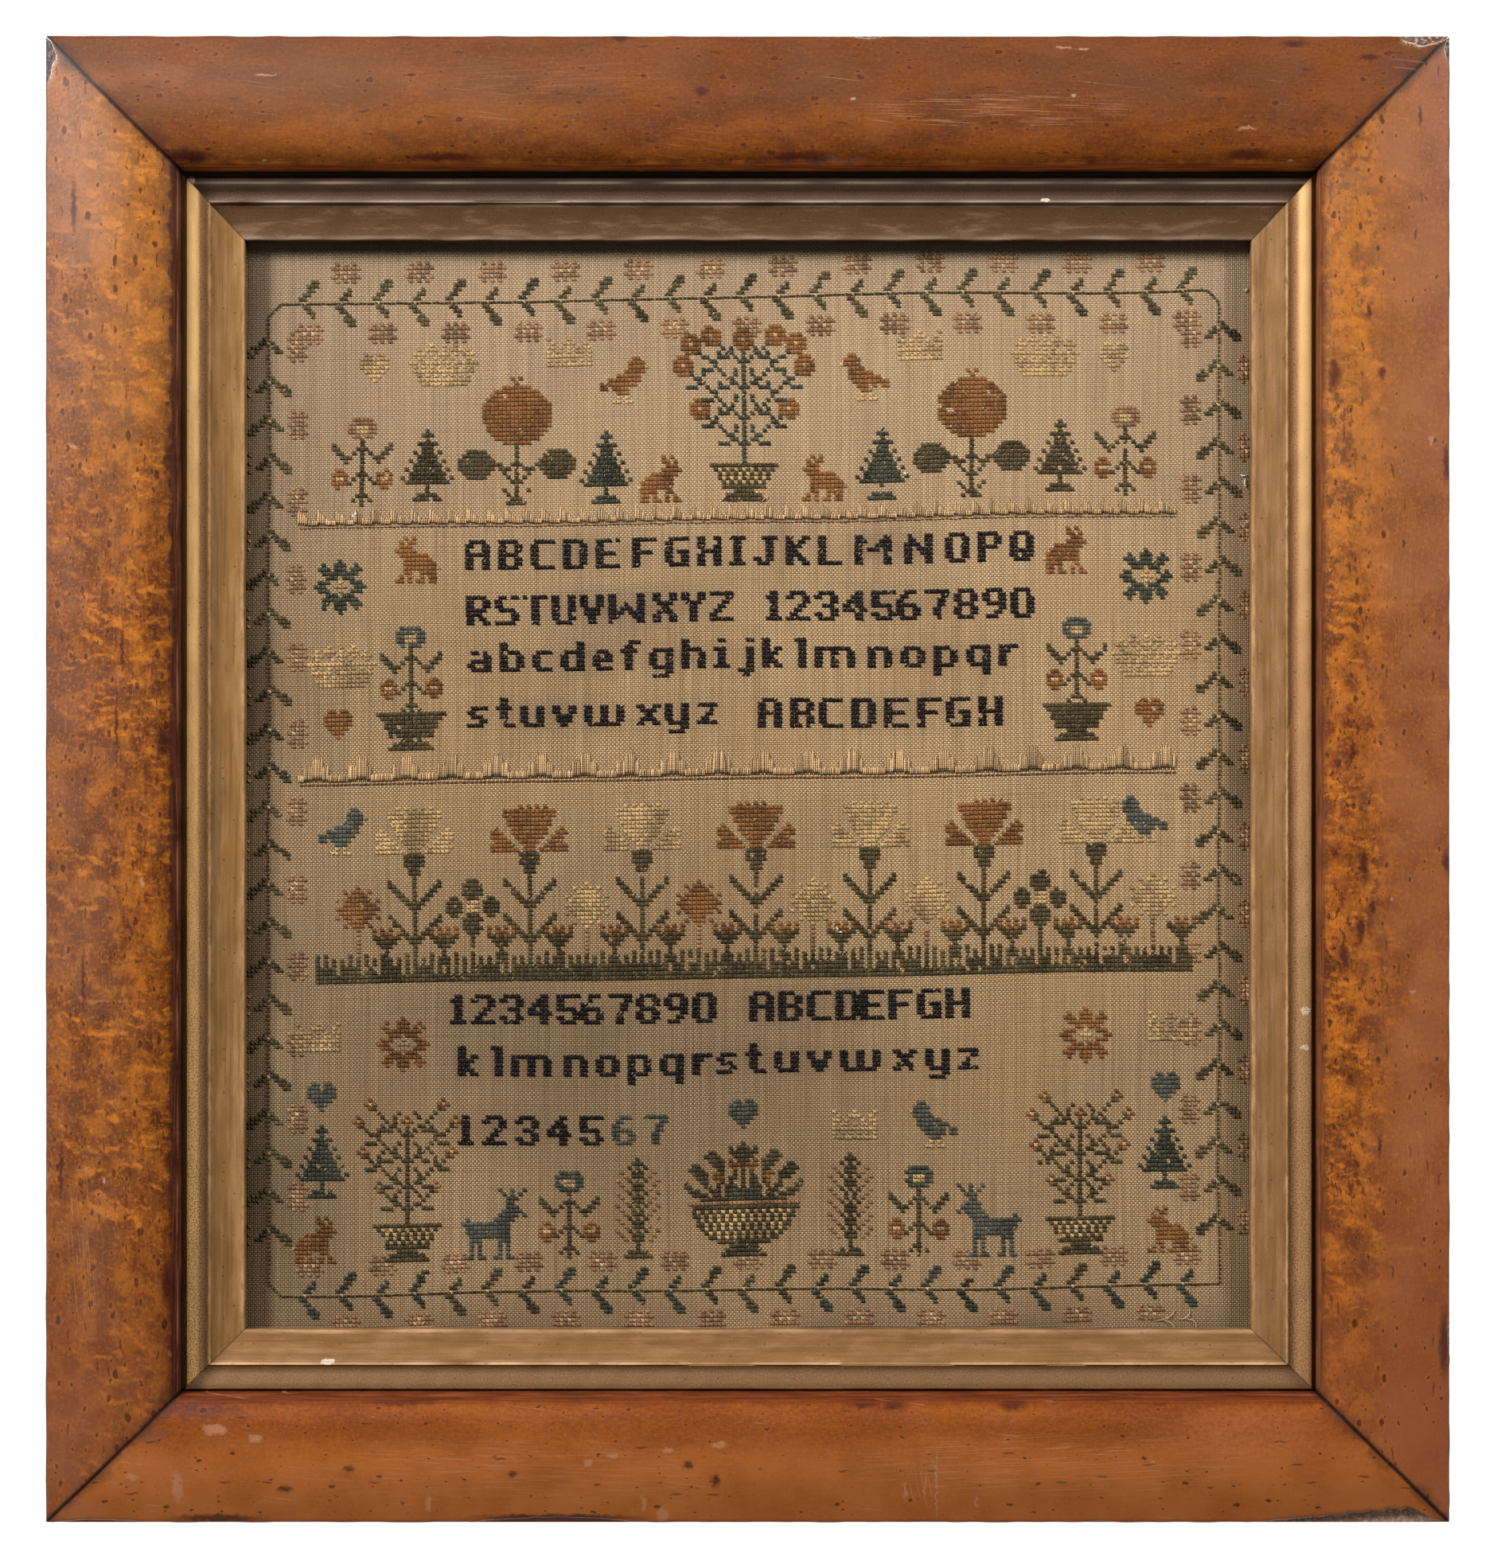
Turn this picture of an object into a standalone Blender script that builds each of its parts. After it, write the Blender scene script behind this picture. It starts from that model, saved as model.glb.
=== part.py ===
"""A cross stitch sampler in a veneered frame with a gilt slip, lying on its back.

Metres, +Z up. The origin is the centre of the back, +Y is the top of the sampler, and the face looks up.
Four pine rails carry maple facings and meet in mitres. Behind their lips lie four mitred gilt slips, the
cloth, and the backboard that closes the rebate.
"""

import math

import bmesh
import bpy
from mathutils import Vector

# The four sides, each a quarter turn after the one before it
SIDES = ("bottom", "right", "top", "left")

# Outside of the frame
FRAME_WIDTH = 0.4236
FRAME_HEIGHT = 0.4484

# Visible width of each rail and of the slip beside it: the old frame isn't quite even
RAIL_WIDTH = {"bottom": 0.0394, "right": 0.0402, "top": 0.0407, "left": 0.0408}
SLIP_FACE = {"bottom": 0.0182, "right": 0.0191, "top": 0.0204, "left": 0.0187}

# Rail section, for a rail of nominal width; the sides stretch it to their own
NOMINAL_RAIL = 0.0410
OUTER_EDGE_HEIGHT = 0.0190
CROWN_HEIGHT = 0.0262
CROWN_AT = 0.0300
ROLL_DROP = 0.0066
LIP_BOTTOM = 0.0150
REBATE_WIDTH = 0.0062
SLOPE_STEPS = 12
ROLL_STEPS = 9

VENEER = 0.0010
FIT_GAP = 0.0003
MITRE_GAP = 0.0003

# Slip section, from its hidden outer edge under the lip to its sight edge
SLIP_FLANGE = 0.0050
NOMINAL_SLIP = 0.0240
SLIP_BACK = 0.0070
FLANGE_TOP = LIP_BOTTOM - FIT_GAP
BEAD_START = 0.0060
BEAD_WIDTH = 0.0060
BEAD_RISE = 0.0031
BEAD_LEAN = 0.65
BEAD_STEPS = 12
QUIRK_WIDTH = 0.0003
QUIRK_FLOOR = 0.0139
RIDGE_WIDTH = 0.0017
RIDGE_RISE = 0.0009
RIDGE_STEPS = 6
SLOPE_TOP = 0.0146
SLOPE_SAG = 0.0004
SLOPE_FACETS = 6
NOSE_WIDTH = 0.0007
NOSE_TOP = 0.0124
NOSE_DROP = 0.0006

# Cloth: a thin sheet under the slip, flat at its margin and slightly loose inside it
CLOTH_THICKNESS = 0.0010
CLOTH_MARGIN = 0.0120
CLOTH_TOP = SLIP_BACK - FIT_GAP
CLOTH_CELLS_X = 22
CLOTH_CELLS_Y = 24
COCKLE_HEIGHT = 0.0005
FLAT_BORDER = 0.0150

# Board that closes the rebate behind the cloth
BOARD_RECESS = 0.0006
BOARD_TOP = CLOTH_TOP - CLOTH_THICKNESS - FIT_GAP
BOARD_EDGE_BEVEL = 0.0006


def clear_scene():
    for obj in list(bpy.data.objects):
        bpy.data.objects.remove(obj)


def finish(name, colour, roughness, metallic=0.0):
    material = bpy.data.materials.new(name)
    material.use_nodes = True
    shader = material.node_tree.nodes["Principled BSDF"]
    shader.inputs["Base Color"].default_value = (*colour, 1.0)
    shader.inputs["Roughness"].default_value = roughness
    shader.inputs["Metallic"].default_value = metallic
    return material


def add_object(name, bm, material, smooth_below=math.radians(35)):
    mesh = bpy.data.meshes.new(name)
    bm.to_mesh(mesh)
    bm.free()
    mesh.shade_smooth()
    mesh.set_sharp_from_angle(angle=smooth_below)
    mesh.materials.append(material)
    obj = bpy.data.objects.new(name, mesh)
    bpy.context.scene.collection.objects.link(obj)
    return obj


def face_curve():
    """The rail's face as (distance in, height), rising to its crown and rolling down at the inner edge."""
    slope = [
        (
            CROWN_AT * k / SLOPE_STEPS,
            OUTER_EDGE_HEIGHT
            + (CROWN_HEIGHT - OUTER_EDGE_HEIGHT) * math.sin(math.pi / 2 * k / SLOPE_STEPS),
        )
        for k in range(SLOPE_STEPS)
    ]
    roll_reach = NOMINAL_RAIL - CROWN_AT
    roll = [
        (
            CROWN_AT + roll_reach * math.sin(math.pi / 2 * k / ROLL_STEPS),
            CROWN_HEIGHT - ROLL_DROP * (1 - math.cos(math.pi / 2 * k / ROLL_STEPS)),
        )
        for k in range(ROLL_STEPS + 1)
    ]
    return slope + roll


def sunk(curve, depth):
    """The curve moved into the wood by depth, square to itself, its ends kept plumb."""
    moved = []
    for k, point in enumerate(curve):
        before = Vector(curve[max(k - 1, 0)])
        after = Vector(curve[min(k + 1, len(curve) - 1)])
        along = (after - before).normalized()
        inward = Vector((along.y, -along.x))
        moved.append(Vector(point) + inward * depth)
    moved[0] = Vector((0.0, moved[0].y))
    moved[-1] = Vector((curve[-1][0] - depth, curve[-1][1]))
    return [tuple(point) for point in moved]


def facing_section():
    top = face_curve()
    under = sunk(top, VENEER)
    lip = [(top[-1][0], LIP_BOTTOM), (under[-1][0], LIP_BOTTOM)]
    return top + lip + under[::-1]


def rail_section():
    top = sunk(face_curve(), VENEER + FIT_GAP)
    rebate = NOMINAL_RAIL - REBATE_WIDTH
    return [(0.0, 0.0), *top, (top[-1][0], LIP_BOTTOM), (rebate, LIP_BOTTOM), (rebate, 0.0)]


def slip_section():
    """Flange, leaning bead, fine ridge and long slope, down to the nose at the sight edge."""
    bead = [
        (
            BEAD_START + BEAD_WIDTH * k / BEAD_STEPS,
            FLANGE_TOP + BEAD_RISE * math.sin(math.pi * (k / BEAD_STEPS) ** BEAD_LEAN),
        )
        for k in range(BEAD_STEPS)
    ]
    quirk_start = BEAD_START + BEAD_WIDTH
    ridge_start = quirk_start + QUIRK_WIDTH
    slope_start = ridge_start + RIDGE_WIDTH
    nose_start = NOMINAL_SLIP - NOSE_WIDTH
    quirk = [(quirk_start, QUIRK_FLOOR), (ridge_start, QUIRK_FLOOR)]
    ridge = []
    for k in range(1, RIDGE_STEPS):
        share = k / RIDGE_STEPS
        base = QUIRK_FLOOR + (SLOPE_TOP - QUIRK_FLOOR) * share
        ridge.append((ridge_start + RIDGE_WIDTH * share, base + RIDGE_RISE * math.sin(math.pi * share)))
    slope = []
    for k in range(SLOPE_FACETS + 1):
        share = k / SLOPE_FACETS
        fall = SLOPE_TOP + (NOSE_TOP - SLOPE_TOP) * share
        across = slope_start + (nose_start - slope_start) * share
        slope.append((across, fall - SLOPE_SAG * math.sin(math.pi * share)))
    nose = [(NOMINAL_SLIP, NOSE_TOP - NOSE_DROP), (NOMINAL_SLIP, SLIP_BACK)]
    return [(0.0, SLIP_BACK), (0.0, FLANGE_TOP), *bead, *quirk, *ridge, *slope, *nose]


def saw_mitre(bm, point, normal):
    """Cuts the stick off plumb along one mitre, and closes the sawn end."""
    geometry = bm.verts[:] + bm.edges[:] + bm.faces[:]
    cut = bmesh.ops.bisect_plane(
        bm, geom=geometry, dist=1e-7, plane_co=point, plane_no=normal, clear_outer=True
    )
    rim = [item for item in cut["geom_cut"] if isinstance(item, bmesh.types.BMEdge)]
    bmesh.ops.contextual_create(bm, geom=rim)


def moulding_side(name, side, section, section_width, outer_inset, inner_inset, material):
    """One mitred side of a rectangular moulding.

    The section runs inwards from outer_inset to inner_inset, measured from the frame's outside. Its stick
    lies along the side, with local +Y inwards, and is sawn off at both mitres.
    """
    turn = SIDES.index(side)
    before = SIDES[turn - 1]
    after = SIDES[(turn + 1) % len(SIDES)]
    length = FRAME_WIDTH if side in ("bottom", "top") else FRAME_HEIGHT
    width = inner_inset[side] - outer_inset[side]

    bm = bmesh.new()
    end = [
        bm.verts.new((-length / 2, outer_inset[side] + width * across / section_width, height))
        for across, height in section
    ]
    start_face = bm.faces.new(end)
    pulled = bmesh.ops.extrude_face_region(bm, geom=[start_face])
    far = [item for item in pulled["geom"] if isinstance(item, bmesh.types.BMVert)]
    bmesh.ops.translate(bm, verts=far, vec=(length, 0, 0))

    for sign, neighbour in ((-1, before), (1, after)):
        corner_x = sign * (length / 2 - outer_inset[neighbour] - MITRE_GAP / 2)
        neighbour_width = inner_inset[neighbour] - outer_inset[neighbour]
        saw_mitre(bm, (corner_x, outer_inset[side], 0), (sign * width, neighbour_width, 0))
    bmesh.ops.recalc_face_normals(bm, faces=bm.faces)

    obj = add_object(name, bm, material)
    reach = (FRAME_HEIGHT if side in ("bottom", "top") else FRAME_WIDTH) / 2
    obj.rotation_euler = (0, 0, turn * math.pi / 2)
    obj.location = obj.rotation_euler.to_matrix() @ Vector((0, -reach, 0))
    return obj


def opening(inset):
    """The rectangle inside an inset, as (left, right, bottom, top)."""
    return (
        inset["left"] - FRAME_WIDTH / 2,
        FRAME_WIDTH / 2 - inset["right"],
        inset["bottom"] - FRAME_HEIGHT / 2,
        FRAME_HEIGHT / 2 - inset["top"],
    )


def cockle(x, y, edge_distance):
    """How far the loose cloth lifts at a point, from 0 at its margin."""
    ease = min(max(edge_distance - CLOTH_MARGIN, 0.0) / FLAT_BORDER, 1.0)
    ease = ease * ease * (3 - 2 * ease)
    along = math.sin(2 * math.pi * (x / 0.21 + 0.30 * math.sin(y / 0.07)))
    across = math.sin(2 * math.pi * (y / 0.26 - 0.15) + 1.4 * math.cos(x / 0.09))
    return COCKLE_HEIGHT * ease * (0.5 + 0.28 * along + 0.22 * across)


def add_cloth(sight, material):
    left, right, bottom, top = sight
    width = right - left + 2 * CLOTH_MARGIN
    height = top - bottom + 2 * CLOTH_MARGIN
    bm = bmesh.new()
    bmesh.ops.create_grid(bm, x_segments=CLOTH_CELLS_X, y_segments=CLOTH_CELLS_Y, size=0.5)
    for vert in bm.verts:
        vert.co.x *= width
        vert.co.y *= height
        edge_distance = min(width / 2 - abs(vert.co.x), height / 2 - abs(vert.co.y))
        vert.co.z = cockle(vert.co.x, vert.co.y, edge_distance)
    cloth = add_object("sampler_cloth", bm, material)
    cloth.location = ((left + right) / 2, (bottom + top) / 2, CLOTH_TOP)
    thickness = cloth.modifiers.new("thickness", "SOLIDIFY")
    thickness.thickness = CLOTH_THICKNESS
    thickness.offset = -1.0
    return cloth


def add_backboard(rebate, material):
    left, right, bottom, top = rebate
    size = Vector((right - left - 2 * FIT_GAP, top - bottom - 2 * FIT_GAP, BOARD_TOP - BOARD_RECESS))
    bm = bmesh.new()
    bmesh.ops.create_cube(bm, size=1.0)
    bmesh.ops.scale(bm, vec=size, verts=bm.verts)
    board = add_object("backboard", bm, material)
    board.location = ((left + right) / 2, (bottom + top) / 2, BOARD_RECESS + size.z / 2)
    eased = board.modifiers.new("eased_edges", "BEVEL")
    eased.width = BOARD_EDGE_BEVEL
    eased.segments = 1
    return board


def build():
    clear_scene()
    maple = finish("birdseye_maple_veneer", (0.42, 0.15, 0.035), 0.32)
    pine = finish("stained_pine", (0.10, 0.045, 0.02), 0.6)
    gilt = finish("aged_gilding", (0.45, 0.29, 0.11), 0.42, 0.7)
    linen = finish("sampler_ground_cloth", (0.37, 0.27, 0.16), 0.9)
    board_wood = finish("old_backboard", (0.24, 0.14, 0.07), 0.8)

    outside = dict.fromkeys(SIDES, 0.0)
    slip_outer = {side: RAIL_WIDTH[side] - SLIP_FLANGE for side in SIDES}
    slip_inner = {side: RAIL_WIDTH[side] + SLIP_FACE[side] for side in SIDES}
    rebate_inset = {
        side: RAIL_WIDTH[side] * (1 - REBATE_WIDTH / NOMINAL_RAIL) for side in SIDES
    }

    for side in SIDES:
        moulding_side(f"rail_{side}", side, rail_section(), NOMINAL_RAIL, outside, RAIL_WIDTH, pine)
        moulding_side(
            f"facing_{side}", side, facing_section(), NOMINAL_RAIL, outside, RAIL_WIDTH, maple
        )
        moulding_side(
            f"slip_{side}", side, slip_section(), NOMINAL_SLIP, slip_outer, slip_inner, gilt
        )
    add_cloth(opening(slip_inner), linen)
    add_backboard(opening(rebate_inset), board_wood)


build()
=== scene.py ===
"""Looks of a cross stitch sampler in a bird's eye maple frame with a gilt slip, lying on its back.

The frame's rails and backboard keep their shapes and get materials. The veneer, the slips and the cloth get
finer meshes with their wear, and every stitch is a raised cross of two thread arms sewn on the cloth.
"""

import math

import bpy
import numpy as np
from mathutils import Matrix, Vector


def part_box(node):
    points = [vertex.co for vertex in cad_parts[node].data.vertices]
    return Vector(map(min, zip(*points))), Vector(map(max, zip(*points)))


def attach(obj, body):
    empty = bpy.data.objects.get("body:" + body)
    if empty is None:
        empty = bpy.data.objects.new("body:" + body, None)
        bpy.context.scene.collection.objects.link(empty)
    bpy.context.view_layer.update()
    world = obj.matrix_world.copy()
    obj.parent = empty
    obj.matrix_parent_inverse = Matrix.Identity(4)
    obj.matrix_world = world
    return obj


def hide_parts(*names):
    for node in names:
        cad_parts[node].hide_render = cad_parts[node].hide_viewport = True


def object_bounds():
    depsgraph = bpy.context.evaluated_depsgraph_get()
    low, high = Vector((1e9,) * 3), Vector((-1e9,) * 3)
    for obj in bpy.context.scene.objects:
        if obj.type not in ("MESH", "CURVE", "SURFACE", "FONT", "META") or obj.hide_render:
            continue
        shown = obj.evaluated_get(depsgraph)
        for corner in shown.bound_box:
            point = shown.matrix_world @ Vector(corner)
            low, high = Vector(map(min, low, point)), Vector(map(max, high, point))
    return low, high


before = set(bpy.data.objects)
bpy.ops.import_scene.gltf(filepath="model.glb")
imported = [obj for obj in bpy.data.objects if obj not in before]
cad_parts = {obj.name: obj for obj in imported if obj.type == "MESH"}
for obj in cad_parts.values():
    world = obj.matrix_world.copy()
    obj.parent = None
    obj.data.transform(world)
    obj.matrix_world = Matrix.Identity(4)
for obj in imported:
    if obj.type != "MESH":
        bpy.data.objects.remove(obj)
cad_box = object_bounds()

MM = 0.001
SIDES = ("bottom", "right", "top", "left")

# The photo: its size, the real size of one of its pixels, and where the frame's centre lies in it
PHOTO_WIDTH, PHOTO_HEIGHT = 1876, 1970
PIXEL = 0.24 * MM
FRAME_CENTRE_PX = (939.5, 978.8)
CAMERA_DISTANCE = 1.5

# Sizes read from the frame
LOW, HIGH = Vector(cad_box[0]), Vector(cad_box[1])
FRAME_WIDTH = HIGH.x - LOW.x
FRAME_HEIGHT = HIGH.y - LOW.y


def box_width(node, side):
    """How wide the node of one side is, across its length."""
    low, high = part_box(node)
    return high.y - low.y if side in ("bottom", "top") else high.x - low.x


def inner_inset(node, side):
    """How far in from the frame's outside the inner edge of a side's node lies."""
    low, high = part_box(node)
    return {
        "bottom": high.y - LOW.y,
        "right": HIGH.x - low.x,
        "top": HIGH.y - low.y,
        "left": high.x - LOW.x,
    }[side]


RAIL_WIDTH = {side: box_width(f"facing_{side}", side) for side in SIDES}
SIGHT_INSET = {side: inner_inset(f"slip_{side}", side) for side in SIDES}
SLIP_OUTER = {side: SIGHT_INSET[side] - box_width(f"slip_{side}", side) for side in SIDES}
OUTSIDE = dict.fromkeys(SIDES, 0.0)

# Rail section
NOMINAL_RAIL = 41.0 * MM
OUTER_EDGE_HEIGHT = 19.0 * MM
CROWN_HEIGHT = HIGH.z
CROWN_AT = 30.0 * MM
ROLL_DROP = 6.6 * MM
LIP_BOTTOM = 15.0 * MM
VENEER = 1.0 * MM

# Slip section
NOMINAL_SLIP = 24.0 * MM
SLIP_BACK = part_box("slip_left")[0].z
FLANGE_TOP = LIP_BOTTOM - 0.3 * MM
BEAD_START = {"left": 6.0 * MM, "right": 5.5 * MM, "top": 6.0 * MM, "bottom": 5.1 * MM}
BEAD_END = 10.3 * MM
BEAD_TOP = 17.4 * MM
BEAD_CREST = 0.22
COVE_WIDTH = 2.7 * MM
COVE_TOP = 15.7 * MM
COVE_SAG = 0.35 * MM
RIDGE_WIDTH = 0.9 * MM
RIDGE_RISE = 0.35 * MM
SLOPE_TOP = 14.9 * MM
SLOPE_SAG = 0.4 * MM
NOSE_WIDTH = 0.7 * MM
NOSE_TOP = 12.4 * MM
NOSE_DROP = 0.6 * MM

# Cloth and stitches
CLOTH_TOP = SLIP_BACK - 0.3 * MM
CLOTH_THICKNESS = 0.8 * MM
CLOTH_MARGIN = 12.0 * MM
COCKLE_HEIGHT = 0.5 * MM
FLAT_BORDER = 15.0 * MM
PITCH_X = 1.234 * MM
PITCH_Y = 1.306 * MM
WEFT_SKEW = 0.0145
COLUMNS, ROWS = 247, 252

SIGHT_LEFT = LOW.x + SIGHT_INSET["left"]
SIGHT_TOP = HIGH.y - SIGHT_INSET["top"]


def colour(red, green, blue):
    """An sRGB colour in 0 to 255 as the linear colour that a shader takes."""
    parts = [value / 255 for value in (red, green, blue)]
    linear = [p / 12.92 if p <= 0.04045 else ((p + 0.055) / 1.055) ** 2.4 for p in parts]
    return (*linear, 1.0)


def ripple(x, y, size, seed):
    """Smooth noise from about -1 to 1, with features about size across."""
    rng = np.random.default_rng(seed)
    waves = 8
    total = np.zeros(np.broadcast(x, y).shape)
    for _ in range(waves):
        heading = rng.uniform(0, 2 * math.pi)
        length = size * rng.uniform(1.0, 3.0)
        phase = rng.uniform(0, 2 * math.pi)
        total += np.sin(2 * math.pi * (x * math.cos(heading) + y * math.sin(heading)) / length + phase)
    return total / math.sqrt(waves)


# Meshes


def new_piece(name, verts, faces, material, uv=None, attributes=None, sharp=math.radians(38)):
    """A piece from arrays: faces is a list of index arrays, each for triangles, quads or n-gons."""
    sizes = np.concatenate([np.full(len(f), f.shape[1]) for f in faces])
    loops = np.concatenate([f.ravel() for f in faces]).astype(np.int32)
    mesh = bpy.data.meshes.new(name)
    mesh.vertices.add(len(verts))
    mesh.vertices.foreach_set("co", np.asarray(verts, np.float32).ravel())
    mesh.loops.add(len(loops))
    mesh.loops.foreach_set("vertex_index", loops)
    mesh.polygons.add(len(sizes))
    mesh.polygons.foreach_set("loop_start", np.concatenate([[0], np.cumsum(sizes)[:-1]]).astype(np.int32))
    mesh.update(calc_edges=True)
    if uv is not None:
        layer = mesh.uv_layers.new(name="place")
        layer.data.foreach_set("uv", np.asarray(uv, np.float32)[loops].ravel())
    for key, values in (attributes or {}).items():
        attribute = mesh.attributes.new(key, "FLOAT", "POINT")
        attribute.data.foreach_set("value", np.asarray(values, np.float32).ravel())
    mesh.shade_smooth()
    mesh.set_sharp_from_angle(angle=sharp)
    mesh.materials.append(material)
    piece = bpy.data.objects.new(name, mesh)
    bpy.context.scene.collection.objects.link(piece)
    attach(piece, "root")
    return piece


def stations(count):
    """Shares along a side from 0 to 1, closer together beside both mitres."""
    near = np.array([0.0, 0.0008, 0.002, 0.0035])
    middle = np.linspace(0.006, 0.994, count)
    return np.concatenate([near, middle, 1 - near[::-1]])


def world_along(side, local):
    """The world coordinate that runs along a side, from the side's own one."""
    return local if side in ("bottom", "right") else -local


# The mitres are closed: each side reaches this far past them
CLOSED = 0.01 * MM


def side_ends(side, inset, outer, inner):
    """Where a line at this inset starts and ends along its side, at the two mitres."""
    turn = SIDES.index(side)
    before, after = SIDES[turn - 1], SIDES[(turn + 1) % 4]
    length = FRAME_WIDTH if side in ("bottom", "top") else FRAME_HEIGHT
    share = (inset - outer[side]) / (inner[side] - outer[side])
    start = -length / 2 + outer[before] + share * (inner[before] - outer[before]) - CLOSED
    end = length / 2 - outer[after] - share * (inner[after] - outer[after]) + CLOSED
    return start, end


def sweep_side(name, side, inset, height, shares, outer, inner, material, attributes):
    """A mitred side from closed section loops, one row of inset and height for each station."""
    count, points = inset.shape
    start, end = side_ends(side, inset, outer, inner)
    along = start + (end - start) * shares[:, None]
    reach = (FRAME_HEIGHT if side in ("bottom", "top") else FRAME_WIDTH) / 2
    angle = SIDES.index(side) * math.pi / 2
    across = inset - reach
    x = along * math.cos(angle) - across * math.sin(angle)
    y = along * math.sin(angle) + across * math.cos(angle)
    verts = np.stack([x, y, height], axis=-1).reshape(-1, 3)
    index = np.arange(count * points).reshape(count, points)
    ahead = np.roll(index, -1, axis=1)
    quads = np.stack([index[:-1], index[1:], ahead[1:], ahead[:-1]], axis=-1).reshape(-1, 4)
    caps = np.stack([index[0], index[-1, ::-1]])
    uv = np.stack([along, inset], axis=-1).reshape(-1, 2)
    mitre = np.minimum(along - start, end - along)
    attributes = {**attributes, "mitre": mitre}
    return new_piece(name, verts, [quads, caps], material, uv, attributes)


# Materials


class Paint:
    """A Principled material, with short calls for the nodes that drive it."""

    def __init__(self, name, **constants):
        self.material = bpy.data.materials.new(name)
        self.material.use_nodes = True
        self.tree = self.material.node_tree
        self.shader = self.tree.nodes["Principled BSDF"]
        for socket, value in constants.items():
            self.shader.inputs[socket.replace("_", " ")].default_value = value

    def node(self, kind, inputs=(), **settings):
        node = self.tree.nodes.new(kind)
        for key, value in settings.items():
            setattr(node, key, value)
        for key, value in dict(inputs).items():
            if isinstance(value, bpy.types.NodeSocket):
                self.tree.links.new(value, node.inputs[key])
            else:
                node.inputs[key].default_value = value
        return node

    def drive(self, socket, value):
        self.tree.links.new(value, self.shader.inputs[socket])

    def maths(self, operation, a, b=0.0):
        return self.node("ShaderNodeMath", {0: a, 1: b}, operation=operation).outputs[0]

    def scaled(self, vector, scale):
        inputs = {0: vector, 1: scale}
        return self.node("ShaderNodeVectorMath", inputs, operation="MULTIPLY").outputs[0]

    def shifted(self, vector, shift):
        inputs = {0: vector, 1: shift}
        return self.node("ShaderNodeVectorMath", inputs, operation="ADD").outputs[0]

    def between(self, value, low, high, start=0.0, end=1.0):
        """Rises smoothly from start to end as value goes from low to high."""
        inputs = {0: value, 1: low, 2: high, 3: start, 4: end}
        node = self.node("ShaderNodeMapRange", inputs, interpolation_type="SMOOTHSTEP")
        return node.outputs[0]

    def lerp(self, share, start, end):
        """Goes straight from start to end as share goes from 0 to 1."""
        return self.node("ShaderNodeMapRange", {0: share, 3: start, 4: end}).outputs[0]

    def turned(self, vector, angle):
        inputs = {"Vector": vector, "Angle": angle}
        return self.node("ShaderNodeVectorRotate", inputs, rotation_type="Z_AXIS").outputs[0]

    def jiggle(self, vector, scale, reach):
        """The vector pushed about by noise."""
        inputs = {"Vector": vector, "Scale": scale, "Detail": 2.0, "Roughness": 0.55}
        push = self.node("ShaderNodeTexNoise", inputs).outputs["Color"]
        push = self.scaled(self.shifted(push, (-0.5, -0.5, 0.0)), reach)
        return self.node("ShaderNodeVectorMath", {0: vector, 1: push}, operation="ADD").outputs[0]

    def mix(self, factor, a, b, blend_type="MIX"):
        inputs = {0: factor, 6: a, 7: b}
        node = self.node("ShaderNodeMix", inputs, data_type="RGBA", blend_type=blend_type)
        return node.outputs[2]

    def noise(self, vector, scale, detail=3.0, roughness=0.55, distortion=0.0):
        inputs = {"Vector": vector, "Scale": scale, "Detail": detail, "Roughness": roughness}
        inputs["Distortion"] = distortion
        return self.node("ShaderNodeTexNoise", inputs).outputs[0]

    def cells(self, vector, scale):
        """Distance to the nearest of scattered points, and a random colour for that point."""
        inputs = {"Vector": vector, "Scale": scale}
        node = self.node("ShaderNodeTexVoronoi", inputs, voronoi_dimensions="2D")
        parts = self.node("ShaderNodeSeparateColor", {0: node.outputs["Color"]})
        return node.outputs["Distance"], parts.outputs

    def attribute(self, name):
        return self.node("ShaderNodeAttribute", attribute_name=name).outputs["Fac"]

    def place(self):
        """The piece's own place map, in millimetres."""
        uv = self.node("ShaderNodeUVMap", uv_map="place").outputs[0]
        return self.scaled(uv, (1 / MM, 1 / MM, 0))

    def split(self, vector):
        return self.node("ShaderNodeSeparateXYZ", {0: vector}).outputs

    def bump(self, height, distance, strength=1.0):
        inputs = {"Height": height, "Distance": distance, "Strength": strength}
        self.drive("Normal", self.node("ShaderNodeBump", inputs).outputs[0])


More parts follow.
